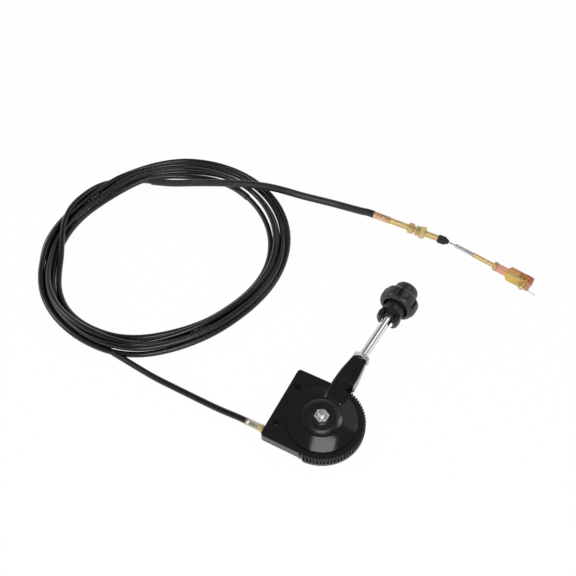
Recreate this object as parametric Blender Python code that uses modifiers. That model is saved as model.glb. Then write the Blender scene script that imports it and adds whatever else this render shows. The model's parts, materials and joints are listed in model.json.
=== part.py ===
"""Hand throttle control: toothed base, friction hub and lever with a lift collar,
a coiled push-pull cable, and a bulkhead fitting with a clevis at its far end.

Units are metres and +Z is up. The origin is on the lever's pivot axis, at the underside
of the base, and everything lies on the plane Z = 0. Azimuths turn from +X towards +Y.
"""
import math

import bmesh
import bpy
from mathutils import Matrix, Vector

# Clearances
GAP = 0.0003              # between pieces that seat on each other
RUN_GAP = 0.0005          # between pieces that turn past each other
BORE_GAP = 0.0003         # radial, round a shank in its bore

# How the head and its lever are turned on the table
HEAD_AZIMUTH = -27.5      # direction of the plate's round end
LEVER_AZIMUTH = 57.0
LEVER_PITCH = 2.9         # the rod rises outwards, so that the knob clears the table
LEVER_AXIS_Z = 0.0140     # height of the rod's centre line where it meets the pivot axis

# Base housing
BASE_HEIGHT = 0.0110
BASE_HALF_WIDTH = 0.0423  # also the root radius of the rim's teeth
BASE_REAR = 0.0463        # from the pivot to the straight rear edge
BASE_CORNER = 0.0035
BASE_EDGE = 0.0007
BASE_ROOF = 0.0030
TOOTH_COUNT = 45
TOOTH_PITCH = 4.39        # degrees
TOOTH_HEIGHT = 0.0017
TOOTH_TIP_WIDTH = 0.0013
TOOTH_ROOT_WIDTH = 0.0020
TOOTH_TOP_STEP = 0.0006   # the teeth stop this far under the top face
RIM_FLANGE_HEIGHT = 0.0040
RIM_FLANGE_PROUD = 0.0003
CROWN_DEPTH = 0.0063      # how far the toothed crown reaches into the housing wall
MOUNT_HOLE_RADIUS = 0.0033
MOUNT_HOLE_X = -0.0384
MOUNT_HOLE_Y = 0.0230
MOUNT_SINK_RADIUS = 0.0038
MOUNT_SINK_DEPTH = 0.0004
RIM_TIP = BASE_HALF_WIDTH + TOOTH_HEIGHT

# Bottom cover and its screws
COVER_THICK = 0.0015
COVER_RADIUS = 0.0397
COVER_SCREW_CIRCLE = 0.0373
COVER_SCREW_RADIUS = 0.0010
COVER_SCREW_HEAD_RADIUS = 0.0021
COVER_SCREW_HEAD = 0.0006
COVER_SCREW_LENGTH = 0.0055
COVER_HEAD_RECESS = 0.0002

# Cable drum and the wire in it
DRUM_RADIUS = 0.0347
WIRE_PITCH_RADIUS = 0.0330
WIRE_RADIUS = 0.0009
GROOVE_DEPTH = 0.0028
GROOVE_FLOOR_HALF = 0.0012
GROOVE_MOUTH_HALF = 0.0017
DRUM_NECK_RADIUS = 0.0088
DOG_RADIUS = 0.0080
DOG_FLAT = 0.0062
NIPPLE_AZIMUTH = 40.0
NIPPLE_RADIUS = 0.0021
NIPPLE_LENGTH = 0.0034
NIPPLE_CIRCLE = 0.0320

# Pivot stack
STUD_RADIUS = 0.0039
STUD_FLANGE_RADIUS = 0.0072
STUD_FLANGE = 0.0011
STUD_SPIGOT_RADIUS = 0.0029
STUD_SPIGOT = 0.0009
STUD_PROUD = 0.0057
FRICTION_OUTER = 0.0300
FRICTION_INNER = 0.0110
FRICTION_THICK = 0.0011
FRICTION_SINK = 0.0009
HUB_RADIUS = 0.0360
HUB_EDGE = 0.0009
HUB_WEB = 0.0013
HUB_CONE_HEIGHT = 0.0030
HUB_LIP = 0.0006
CAP_RADIUS = 0.0206
CAP_FLAT_RADIUS = 0.0140
CAP_HEIGHT = 0.0021
CAP_RIM = 0.0009
CAP_FLOOR = 0.0008
CAP_WELL_RADIUS = 0.0092
SPRING_OUTER = 0.0190
SPRING_INNER = 0.0055
SPRING_THICK = 0.0004
SPRING_RISE = 0.0004
PIVOT_NUT_FLATS = 0.0130
PIVOT_NUT_THICK = 0.0040

# Lever boss, in the lever's own upright plane: X along the lever
BOSS_INNER = 0.0205
BOSS_ROOT_HALF = 0.0102
BOSS_WAIST_X = 0.0380
BOSS_WAIST_HALF = 0.0110
BOSS_SHOULDER_X = 0.0560
BOSS_SHOULDER_HALF = 0.0102
BOSS_END_HALF = 0.0076
BOSS_TOP_ROOT_Z = 0.0160
BOSS_TOP_KNEE_X = 0.0330
BOSS_TOP_KNEE_Z = 0.0205
BOSS_TOP_SHOULDER_X = 0.0460
BOSS_TOP_SHOULDER_Z = 0.0240
BOSS_TOP_END_Z = 0.0252
SKIRT_CLEARANCE = 0.00175  # from the teeth to the skirt
SKIRT_INNER = RIM_TIP + SKIRT_CLEARANCE
SKIRT_BOTTOM_Z = 0.0032
SKIRT_HEEL = 0.00325
SKIRT_HEEL_X = SKIRT_INNER + SKIRT_HEEL
SKIRT_END_Z = 0.0110
BOSS_EDGE = 0.0024
BOSS_SIDE_HOLE = (0.0570, 0.0095)
BOSS_SIDE_HOLE_RADIUS = 0.0009
BOSS_SIDE_HOLE_DEPTH = 0.0020
SHELF_DEPTH = 0.0009      # the raised pad on top stands this far over the shelf round it
SHELF_MARGIN = 0.0018
RIDGE_END_Y = -0.0024     # the pad's straight side, at the lever's end and at the pocket
RIDGE_POCKET_Y = -0.0036
RIDGE_ROOT_Y = -0.0094
POCKET_FLOOR_Z = 0.0150
POCKET_WALL = 0.0019      # between the side pocket and the pawl's chamber

# Lock: pawl, release rod, spring and lift collar; stations run along the rod's centre line
LOCK_STROKE_IN = 0.0018   # from the lifted position down into the teeth
LOCK_STROKE_OUT = 0.0022
PAWL_LIFT_GAP = 0.0006    # from the teeth to the lifted pawl
PAWL_TIP_X = RIM_TIP + PAWL_LIFT_GAP
PAWL_TOOTH_HEIGHT = 0.0016
PAWL_TOOTH_TIP = 0.0007
PAWL_TOOTH_BASE = 0.0014
PAWL_HALF_WIDTH = 0.0042
PAWL_FLANGE_GAP = 0.0012
PAWL_BOTTOM_Z = RIM_FLANGE_HEIGHT + PAWL_FLANGE_GAP
PAWL_TOP_Z = 0.0196
PAWL_FOOT_DEPTH = 0.0058
PAWL_FOOT_OUTER = PAWL_TIP_X + PAWL_FOOT_DEPTH
PAWL_HEAD_SETBACK = 0.0026
PAWL_HEAD_INNER = PAWL_TIP_X + PAWL_HEAD_SETBACK
PAWL_HEAD_DEPTH = 0.0068
PAWL_HEAD_OUTER = PAWL_HEAD_INNER + PAWL_HEAD_DEPTH
PAWL_STEP_Z = 0.0116
RELEASE_ROD_RADIUS = 0.0021
RELEASE_ROD_SEAT = 0.0034
RELEASE_ROD_START = PAWL_HEAD_OUTER - RELEASE_ROD_SEAT
RELEASE_ROD_END = 0.1505
LOCK_SPRING_RADIUS = 0.0033
LOCK_SPRING_WIRE = 0.0004
LOCK_SPRING_TURNS = 4
LOCK_SPRING_ROOM = 0.0070 # from the pawl to the end of the lever rod
LOCK_SPRING_BORE = 0.0042
CROSS_PIN_STATION = 0.1480
CROSS_PIN_RADIUS = 0.0012
CROSS_PIN_HALF = 0.0095

# Lever rod, jam nut and knob
ROD_RADIUS = 0.0050
ROD_BORE_RADIUS = 0.0025
ROD_SEAT = PAWL_HEAD_OUTER + LOCK_SPRING_ROOM
ROD_GRIP = 0.0146         # length of rod held in the boss
BOSS_OUTER = ROD_SEAT + ROD_GRIP
JAM_NUT_FLATS = 0.0170
JAM_NUT_THICK = 0.0050
KNOB_START = 0.1550
KNOB_END = 0.1770
KNOB_RADIUS = 0.0210
KNOB_HOLLOW_RADIUS = 0.0142
KNOB_HOLLOW_DEPTH = 0.0110
KNOB_WEB = 0.0060
KNOB_LOBES = 6
KNOB_NOTCH_RADIUS = 0.0023
KNOB_NOTCH_CIRCLE = 0.0200
KNOB_SPIGOT_RADIUS = 0.0080
CAP_TIP = 0.1885
CAP_DOME_RADIUS = 0.0129

# Lift collar
COLLAR_START = 0.1375
COLLAR_END = 0.1600
COLLAR_BORE_GAP = 0.0004
COLLAR_SLEEVE_RADIUS = 0.0069
COLLAR_NECK_RADIUS = 0.0118
WING_TIP = 0.1322
WING_ROOT = 0.1445
WING_OUTER_RADIUS = 0.0132
WING_INNER_RADIUS = 0.0092
WING_HALF_WIDTH = 0.0056

# Cable: the conduit, its end sleeve and the coil
CABLE_RADIUS = 0.00325
SLEEVE_RADIUS = 0.0046
COIL_CENTRE = (-0.1815, 0.2330)
COIL_LONG = 0.1455        # half axes of the coil's middle line
COIL_SHORT = 0.1300
COIL_TURN = 52.0          # direction of the long axis
COIL_BAND = 0.0270
COIL_LAYERS = 2
FERRULE_RADIUS = 0.0037
FERRULE_LENGTH = 0.0170
FERRULE_COLLAR_RADIUS = 0.0043
FERRULE_COLLAR = 0.0030
FERRULE_SPIGOT_RADIUS = 0.0030
FERRULE_SPIGOT = 0.0070
HEAD_ROUTE = [            # X, Y and height of the cable's middle after the head ferrule
    (-0.0835, 0.0062, 0.0046), (-0.1020, 0.0149, 0.0039), (-0.1210, 0.0250, 0.0035),
    (-0.1400, 0.0352, 0.0034), (-0.1600, 0.0460, 0.0034), (-0.1800, 0.0572, 0.0034),
    (-0.1960, 0.0668, 0.0034), (-0.2125, 0.0771, 0.0034),
]
END_ROUTE = [             # the sleeved run, from the coil to the crimp ferrule
    (-0.2120, 0.3436, 0.0050), (-0.1860, 0.3438, 0.0066), (-0.1600, 0.3410, 0.0096),
    (-0.1340, 0.3362, 0.0142), (-0.1080, 0.3316, 0.0178), (-0.0820, 0.3290, 0.0184),
    (-0.0560, 0.3238, 0.0184), (-0.0360, 0.3173, 0.0178), (-0.0160, 0.3122, 0.0146),
    (0.0040, 0.3095, 0.0104), (0.0240, 0.3060, 0.0070), (0.0420, 0.3005, 0.0056),
    (0.0580, 0.2940, 0.0058),
]

# End fitting on the conduit: stations run along the threaded tube from the crimp ferrule
FITTING_START = (0.0744, 0.28585)
FITTING_AZIMUTH = -28.4
FITTING_Z = 0.0074
CRIMP_RADIUS = 0.0045
CRIMP_LENGTH = 0.0205
CRIMP_WALL = 0.0009
CRIMP_GROOVE = 0.0003
TUBE_RADIUS = 0.0040
TUBE_BORE = 0.0015
TUBE_SHANK = 0.0120
TUBE_END = 0.0882
BULKHEAD_NUT_FLATS = 0.0130
BULKHEAD_NUT_THICK = 0.0065
BULKHEAD_NUT_STATIONS = (0.0462, 0.0612)
BULKHEAD_NUT_ROLLS = (13, 43)
LOCK_WASHER_RADIUS = 0.0064
LOCK_WASHER_THICK = 0.0017
LOCK_WASHER_STATIONS = (0.0560, 0.0590)
LOCK_WASHER_SLIT = 0.0010
WIPER_START = 0.0846
WIPER_SHOULDER = 0.0935
WIPER_END = 0.0980
WIPER_RADIUS = 0.0052
WIPER_TIP_RADIUS = 0.0021

# Moving end: stations run along the rod from the bend in the bare wire
CORE_RADIUS = 0.0010
CORE_START = 0.0260
BEND_STATION = 0.1015
BEND_TANGENT = 0.0028
ROD_END_AZIMUTH = -38.4
CORE_SLEEVE_START = 0.0053
CORE_SLEEVE_END = 0.0290
CORE_SLEEVE_RADIUS = 0.0026
CORE_SLEEVE_BORE = 0.0016
CORE_DEPTH = 0.0110
END_ROD_RADIUS = 0.0029
END_ROD_SPIGOT = 0.0105
END_ROD_END = 0.0720
CLEVIS_NUT_FLATS = 0.0100
CLEVIS_NUT_THICK = 0.0050
CLEVIS_NUT_STATION = 0.0563
CLEVIS_START = 0.0618
CLEVIS_NECK = 0.0122
CLEVIS_NECK_RADIUS = 0.0050
CLEVIS_LENGTH = 0.0425
CLEVIS_BOX = 0.0125
CLEVIS_EDGE = 0.0006
CLEVIS_SLOT = 0.0062
CLEVIS_SLOT_DEPTH = 0.0160
CLEVIS_CONE = 0.0024      # turned chamfer at the neck
CLEVIS_NOSE = 0.0010
PIN_FROM_END = 0.0080
PIN_RADIUS = 0.0029
PIN_HEAD_RADIUS = 0.0042
PIN_HEAD = 0.0018
PIN_PROUD = 0.0042
PIN_WASHER_RADIUS = 0.0050
PIN_WASHER_THICK = 0.0010
SPLIT_WIRE = 0.0004
SPLIT_EYE = 0.0015
SPLIT_LONG_LEG = 0.0180
SPLIT_SHORT_LEG = 0.0060

ROUND = 28                # facets round a large turned piece
SMALL_ROUND = 16
TINY_ROUND = 12
SCREW_ROUND = 8
DRUM_ROUND = 24
COLLAR_ROUND = 24

PARTS = None
CUTTERS = None


def collection(name):
    """Make a new collection under the scene's own."""
    made = bpy.data.collections.new(name)
    bpy.context.scene.collection.children.link(made)
    return made


def material(name, colour, roughness, metallic):
    """A Principled material from a linear colour."""
    made = bpy.data.materials.new(name)
    made.use_nodes = True
    shader = made.node_tree.nodes["Principled BSDF"]
    shader.inputs["Base Color"].default_value = (*colour, 1.0)
    shader.inputs["Roughness"].default_value = roughness
    shader.inputs["Metallic"].default_value = metallic
    return made


def frame_empty(name, place=(0, 0, 0), turn=(0, 0, 0), parent=None):
    """An empty that carries the pieces of one axis."""
    empty = bpy.data.objects.new(name, None)
    empty.location = place
    empty.rotation_euler = turn
    empty.parent = parent
    CUTTERS.objects.link(empty)
    return empty


def finish_mesh(mesh, angle=35):
    """Merge loose caps, make each flat one face, and shade the round faces smooth."""
    shape = bmesh.new()
    shape.from_mesh(mesh)
    bmesh.ops.remove_doubles(shape, verts=shape.verts, dist=1e-7)
    bmesh.ops.dissolve_limit(shape, angle_limit=math.radians(0.2), verts=shape.verts,
                             edges=shape.edges, use_dissolve_boundaries=False)
    shape.to_mesh(mesh)
    shape.free()
    mesh.shade_smooth()
    mesh.set_sharp_from_angle(angle=math.radians(angle))
    return mesh


def realise(source, name):
    """Turn a curve or a screw into a plain mesh and drop the source object."""
    bpy.context.view_layer.update()
    graph = bpy.context.evaluated_depsgraph_get()
    mesh = bpy.data.meshes.new_from_object(source.evaluated_get(graph))
    mesh.name = name
    bpy.data.objects.remove(source)
    return finish_mesh(mesh)


def place(obj, parent, at=(0, 0, 0), turn=(0, 0, 0)):
    """Put an object under its frame."""
    obj.parent = parent
    obj.location = at
    obj.rotation_euler = turn
    return obj


def piece(name, mesh, finish, parent, at=(0, 0, 0), turn=(0, 0, 0)):
    """Make one named part."""
    mesh.materials.clear()
    mesh.materials.append(finish)
    obj = bpy.data.objects.new(name, mesh)
    PARTS.objects.link(obj)
    return place(obj, parent, at, turn)


def cutter(mesh, parent, at=(0, 0, 0), turn=(0, 0, 0)):
    """Make a hidden tool body for a Boolean."""
    obj = bpy.data.objects.new("tool", mesh)
    obj.hide_render = True
    obj.display_type = "WIRE"
    CUTTERS.objects.link(obj)
    return place(obj, parent, at, turn)


def combine(obj, operation, tools):
    """Add one Boolean for each tool body."""
    for tool in tools:
        boolean = obj.modifiers.new(operation.lower(), "BOOLEAN")
        boolean.operation = operation
        boolean.solver = "EXACT"
        boolean.object = tool
    return obj


def round_edges(obj, width, segments=2, angle=40):
    """Bevel the edges sharper than an angle."""
    bevel = obj.modifiers.new("edges", "BEVEL")
    bevel.width = width
    bevel.segments = segments
    bevel.limit_method = "ANGLE"
    bevel.angle_limit = math.radians(angle)
    return obj


def turned(profile, steps=ROUND):
    """Turn a profile of (radius, station) points round Z. Ends on the axis stay open there."""
    count = len(profile)
    area = sum(profile[i][0] * profile[(i + 1) % count][1]
               - profile[(i + 1) % count][0] * profile[i][1] for i in range(count))
    points = profile[::-1] if area > 0 else profile
    on_axis = [radius < 1e-9 for radius, _ in points]
    edges = [(i, (i + 1) % count) for i in range(count)
             if not (on_axis[i] and on_axis[(i + 1) % count])]
    mesh = bpy.data.meshes.new("profile")
    mesh.from_pydata([(radius, 0, station) for radius, station in points], edges, [])
    obj = bpy.data.objects.new("profile", mesh)
    bpy.context.scene.collection.objects.link(obj)
    screw = obj.modifiers.new("turn", "SCREW")
    screw.steps = steps
    screw.render_steps = steps
    screw.use_merge_vertices = True
    screw.merge_threshold = 1e-6
    return realise(obj, "turned")


def rod(radius, start, end, steps=SMALL_ROUND):
    """A plain round bar from one station to another."""
    return turned([(0, start), (radius, start), (radius, end), (0, end)], steps)


def ring(inner, outer, start, end, steps=ROUND):
    """A plain ring."""
    return turned([(inner, start), (outer, start), (outer, end), (inner, end)], steps)


def prism(outline, low, high):
    """A flat outline in X and Y, filled from one height to another."""
    curve = bpy.data.curves.new("outline", "CURVE")
    curve.dimensions = "2D"
    curve.fill_mode = "BOTH"
    curve.extrude = (high - low) / 2
    spline = curve.splines.new("POLY")
    spline.points.add(len(outline) - 1)
    for point, (x, y) in zip(spline.points, outline):
        point.co = (x, y, 0, 1)
    spline.use_cyclic_u = True
    obj = bpy.data.objects.new("outline", curve)
    bpy.context.scene.collection.objects.link(obj)
    mesh = realise(obj, "prism")
    mesh.transform(Matrix.Translation((0, 0, (high + low) / 2)))
    return mesh


def side_prism(outline, half_width):
    """An outline in X and Z, filled the same way to both sides of Y = 0."""
    mesh = prism(outline, -half_width, half_width)
    mesh.transform(Matrix.Rotation(math.radians(90), 4, "X"))
    return mesh


def box(low, high):
    """A box between two corners."""
    return prism([(low[0], low[1]), (high[0], low[1]), (high[0], high[1]), (low[0], high[1])],
                 low[2], high[2])


def tube(points, radius, resolution=2, cyclic=False):
    """A round tube along straight pieces between points."""
    curve = bpy.data.curves.new("path", "CURVE")
    curve.dimensions = "3D"
    curve.bevel_depth = radius
    curve.bevel_resolution = resolution
    curve.use_fill_caps = True
    spline = curve.splines.new("POLY")
    spline.points.add(len(points) - 1)
    for point, where in zip(spline.points, points):
        point.co = (*where, 1)
    spline.use_cyclic_u = cyclic
    obj = bpy.data.objects.new("path", curve)
    bpy.context.scene.collection.objects.link(obj)
    return realise(obj, "tube")


def arc(centre, radius, start, end, steps):
    """Points on an arc in X and Y, angles in degrees."""
    angles = [math.radians(start + (end - start) * i / steps) for i in range(steps + 1)]
    return [(centre[0] + radius * math.cos(a), centre[1] + radius * math.sin(a)) for a in angles]


def smooth_route(points, spacing):
    """Points at even spacing on a smooth curve through the route's own points."""
    route = [Vector(p) for p in points]
    dense = []
    for i in range(len(route) - 1):
        before = route[max(i - 1, 0)]
        after = route[min(i + 2, len(route) - 1)]
        start, end = route[i], route[i + 1]
        for step in range(20):
            t = step / 20
            dense.append(0.5 * (2 * start + (end - before) * t
                                + (2 * before - 5 * start + 4 * end - after) * t ** 2
                                + (3 * start - before - 3 * end + after) * t ** 3))
    dense.append(route[-1])
    walked = [0.0]
    for a, b in zip(dense, dense[1:]):
        walked.append(walked[-1] + (b - a).length)
    count = max(2, round(walked[-1] / spacing))
    even, j = [], 0
    for i in range(count + 1):
        target = walked[-1] * i / count
        while j < len(walked) - 2 and walked[j + 1] < target:
            j += 1
        span = walked[j + 1] - walked[j]
        even.append(dense[j].lerp(dense[j + 1], (target - walked[j]) / span))
    return even


def polar(radius, azimuth):
    """A point in X and Y."""
    angle = math.radians(azimuth)
    return radius * math.cos(angle), radius * math.sin(angle)


def rotated(point, azimuth):
    """Turn a point in X and Y about the origin."""
    c, s = math.cos(math.radians(azimuth)), math.sin(math.radians(azimuth))
    return point[0] * c - point[1] * s, point[0] * s + point[1] * c


def hex_nut(name, flats, thick, bore, finish, parent, station, turn=(0, math.pi / 2, 0), roll=0.0):
    """A chamfered hexagon nut with its first face at a station along the frame's X."""
    corner = flats / math.sqrt(3)
    hexagon = prism([polar(corner, 60 * i + 30 + roll) for i in range(6)], 0, thick)
    inner = flats * 0.47
    drop = (corner - flats / 2) * 0.55
    slope = (corner - inner) / drop
    out = drop * 0.6
    chamfer = turned([(0, -out), (inner - slope * out, -out), (corner + slope * out, drop + out),
                      (corner + slope * out, thick - drop - out), (inner - slope * out, thick + out),
                      (0, thick + out)], TINY_ROUND)
    chamfer.transform(Matrix.Rotation(math.radians(15 + roll), 4, "Z"))
    at = (station, 0, 0) if turn[1] else (0, 0, station)
    nut = piece(name, hexagon, finish, parent, at, turn)
    combine(nut, "INTERSECT", [cutter(chamfer, parent, at, turn)])
    hole = rod(bore, -thick, 2 * thick)
    combine(nut, "DIFFERENCE", [cutter(hole, parent, at, turn)])
    return nut


# Heights of the pivot stack, from the table up
COVER_SEAT = COVER_THICK + GAP
DRUM_BOTTOM = COVER_THICK + RUN_GAP
CAVITY_TOP = BASE_HEIGHT - BASE_ROOF
DRUM_TOP = CAVITY_TOP - RUN_GAP
CABLE_Z = (DRUM_BOTTOM + DRUM_TOP) / 2
CAVITY_RADIUS = DRUM_RADIUS + RUN_GAP
FRICTION_SEAT = BASE_HEIGHT - FRICTION_SINK
FRICTION_BOTTOM = FRICTION_SEAT + GAP
HUB_BOTTOM = FRICTION_BOTTOM + FRICTION_THICK + GAP
HUB_FLOOR = HUB_BOTTOM + HUB_WEB
SPRING_BOTTOM = HUB_FLOOR + GAP
CAP_BOTTOM = SPRING_BOTTOM + SPRING_RISE + SPRING_THICK + GAP
WELL_FLOOR = CAP_BOTTOM + CAP_FLOOR
PIVOT_NUT_BOTTOM = WELL_FLOOR + GAP
STUD_TOP = PIVOT_NUT_BOTTOM + PIVOT_NUT_THICK + STUD_PROUD
STUD_BORE = STUD_RADIUS + BORE_GAP
LOCK_AZIMUTH = LEVER_AZIMUTH - HEAD_AZIMUTH


def d_outline(half, rear, corner, steps=40):
    """A plate with one round end and a straight rear edge with small round corners."""
    points = arc((0, 0), half, -90, 90, steps)
    points += arc((-rear + corner, half - corner), corner, 90, 180, 4)
    points += arc((-rear + corner, -half + corner), corner, 180, 270, 4)
    return points


def crown_outline():
    """The toothed rim: a tooth gap lies on the lever's line."""
    tip = BASE_HALF_WIDTH + TOOTH_HEIGHT
    tip_half = math.degrees(TOOTH_TIP_WIDTH / 2 / tip)
    root_half = math.degrees(TOOTH_ROOT_WIDTH / 2 / BASE_HALF_WIDTH)
    phase = (LOCK_AZIMUTH / TOOTH_PITCH - 0.5) % 1.0
    root = BASE_HALF_WIDTH + 1e-5
    points = []
    first = -(TOOTH_COUNT // 2) * TOOTH_PITCH
    for i in range(TOOTH_COUNT):
        centre = first + (i + phase) * TOOTH_PITCH
        points.append(polar(root, centre - root_half))
        points.append(polar(tip, centre - tip_half))
        points.append(polar(tip, centre + tip_half))
        points.append(polar(root, centre + root_half))
    start = first + phase * TOOTH_PITCH - root_half
    end = first + (TOOTH_COUNT - 1 + phase) * TOOTH_PITCH + root_half
    points += arc((0, 0), BASE_HALF_WIDTH - CROWN_DEPTH, end, start, 24)
    return points


def build_base(finish, head):
    """Cast housing: plate, toothed rim, drum chamber, cable bore and mounting holes."""
    base = piece("base_housing", prism(d_outline(BASE_HALF_WIDTH, BASE_REAR, BASE_CORNER),
                                       0, BASE_HEIGHT), finish, head)
    round_edges(base, BASE_EDGE, 2, 60)
    tooth_tip = BASE_HALF_WIDTH + TOOTH_HEIGHT
    flange = arc((0, 0), tooth_tip + RIM_FLANGE_PROUD, -88, 88, 40)
    combine(base, "UNION", [
        cutter(prism(crown_outline(), RIM_FLANGE_HEIGHT / 2, BASE_HEIGHT - TOOTH_TOP_STEP), head),
        cutter(prism(flange, BASE_EDGE / 2, RIM_FLANGE_HEIGHT), head),
    ])
    over = BASE_HEIGHT * 2
    tools = [
        rod(COVER_RADIUS + GAP, -over, COVER_SEAT, ROUND),
        rod(CAVITY_RADIUS, -over, CAVITY_TOP, ROUND),
        rod(DRUM_NECK_RADIUS + RUN_GAP, 0, over, SMALL_ROUND),
        rod(FRICTION_OUTER + GAP, FRICTION_SEAT, over, ROUND),
    ]
    cuts = [cutter(tool, head) for tool in tools]
    for side in (-1, 1):
        at = (MOUNT_HOLE_X, side * MOUNT_HOLE_Y, 0)
        cuts.append(cutter(rod(MOUNT_HOLE_RADIUS, -over, over), head, at))
        sink = rod(MOUNT_SINK_RADIUS, BASE_HEIGHT - MOUNT_SINK_DEPTH, over)
        cuts.append(cutter(sink, head, at))
    for azimuth in (45, 135, 225, 315):
        hole = rod(COVER_SCREW_RADIUS + BORE_GAP, 0, COVER_SCREW_LENGTH + COVER_THICK,
                   SCREW_ROUND)
        cuts.append(cutter(hole, head, (*polar(COVER_SCREW_CIRCLE, azimuth), 0)))
    inlet = (-BASE_REAR, -WIRE_PITCH_RADIUS, CABLE_Z)
    along = (0, math.pi / 2, 0)
    cuts.append(cutter(rod(FERRULE_SPIGOT_RADIUS + BORE_GAP, -0.01, FERRULE_SPIGOT + GAP),
                       head, inlet, along))
    cuts.append(cutter(rod(2 * WIRE_RADIUS, 0, BASE_REAR, 12), head, inlet, along))
    return combine(base, "DIFFERENCE", cuts)


def build_cover(finish, screw_finish, head):
    """Round bottom cover, let into the housing and held by four countersunk screws."""
    cover = piece("bottom_cover", rod(COVER_RADIUS, 0, COVER_THICK, ROUND), finish, head)
    seat = COVER_HEAD_RECESS + COVER_SCREW_HEAD + GAP
    spigot = rod(STUD_SPIGOT_RADIUS + BORE_GAP, COVER_THICK - STUD_SPIGOT, COVER_THICK * 2)
    cuts = [cutter(spigot, head)]
    for number, azimuth in enumerate((45, 135, 225, 315), 1):
        at = (*polar(COVER_SCREW_CIRCLE, azimuth), 0)
        clear = COVER_SCREW_RADIUS + BORE_GAP
        sink = COVER_SCREW_HEAD_RADIUS + BORE_GAP
        low = -COVER_THICK
        cuts.append(cutter(turned([(0, low), (sink, low), (sink, seat), (clear, seat),
                                   (clear, 2 * COVER_THICK), (0, 2 * COVER_THICK)],
                                  SCREW_ROUND), head, at))
        top = COVER_HEAD_RECESS + COVER_SCREW_HEAD
        piece(f"cover_screw_{number}", turned([
            (0, COVER_HEAD_RECESS), (COVER_SCREW_HEAD_RADIUS, COVER_HEAD_RECESS),
            (COVER_SCREW_HEAD_RADIUS, top), (COVER_SCREW_RADIUS, top),
            (COVER_SCREW_RADIUS, top + COVER_SCREW_LENGTH), (0, top + COVER_SCREW_LENGTH)],
            SCREW_ROUND), screw_finish, head, at)
    return combine(cover, "DIFFERENCE", cuts)


def build_drum(finish, steel, head):
    """Grooved drum that the wire winds on, its driving dog and the nipple at the wire's end."""
    floor = DRUM_RADIUS - GROOVE_DEPTH
    sink = STUD_FLANGE_RADIUS + BORE_GAP
    sink_top = COVER_SEAT + STUD_FLANGE + GAP
    neck_top = HUB_BOTTOM - GAP
    dog_top = HUB_FLOOR - GAP
    drum = piece("cable_drum", turned([
        (sink, DRUM_BOTTOM), (DRUM_RADIUS, DRUM_BOTTOM),
        (DRUM_RADIUS, CABLE_Z - GROOVE_MOUTH_HALF), (floor, CABLE_Z - GROOVE_FLOOR_HALF),
        (floor, CABLE_Z + GROOVE_FLOOR_HALF), (DRUM_RADIUS, CABLE_Z + GROOVE_MOUTH_HALF),
        (DRUM_RADIUS, DRUM_TOP), (DRUM_NECK_RADIUS, DRUM_TOP), (DRUM_NECK_RADIUS, neck_top),
        (DOG_RADIUS, neck_top), (DOG_RADIUS, dog_top), (STUD_BORE, dog_top),
        (STUD_BORE, sink_top), (sink, sink_top)], DRUM_ROUND), finish, head)
    flats = [box((-2 * DOG_RADIUS, side * DOG_FLAT - (0 if side > 0 else DOG_RADIUS), neck_top),
                 (2 * DOG_RADIUS, side * DOG_FLAT + (DOG_RADIUS if side > 0 else 0), 2 * dog_top))
             for side in (-1, 1)]
    pocket_low = CABLE_Z - NIPPLE_LENGTH / 2 - GAP
    at = (*polar(NIPPLE_CIRCLE, NIPPLE_AZIMUTH), 0)
    pocket = cutter(rod(NIPPLE_RADIUS + BORE_GAP, pocket_low, DRUM_TOP + GAP, 16), head, at)
    combine(drum, "DIFFERENCE", [cutter(flat, head) for flat in flats] + [pocket])
    piece("core_nipple", rod(NIPPLE_RADIUS, CABLE_Z - NIPPLE_LENGTH / 2,
                             CABLE_Z + NIPPLE_LENGTH / 2, 16), steel, head, at)
    return drum


def build_core_wire(finish, head):
    """The wire inside the head: from the ferrule to the drum and round it to the nipple."""
    reach = math.degrees(2 * math.asin((NIPPLE_RADIUS + GAP) / 2 / WIRE_PITCH_RADIUS))
    end = NIPPLE_AZIMUTH - reach - 0.6
    start_x = -BASE_REAR + FERRULE_SPIGOT + 2 * GAP
    steps = 5
    straight = [(start_x * (1 - i / steps), -WIRE_PITCH_RADIUS) for i in range(steps)]
    wrapped = arc((0, 0), WIRE_PITCH_RADIUS, -90, end, 22)
    points = [(x, y, CABLE_Z) for x, y in straight + wrapped]
    piece("core_wire_head", tube(points, WIRE_RADIUS, 1), finish, head)


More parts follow.
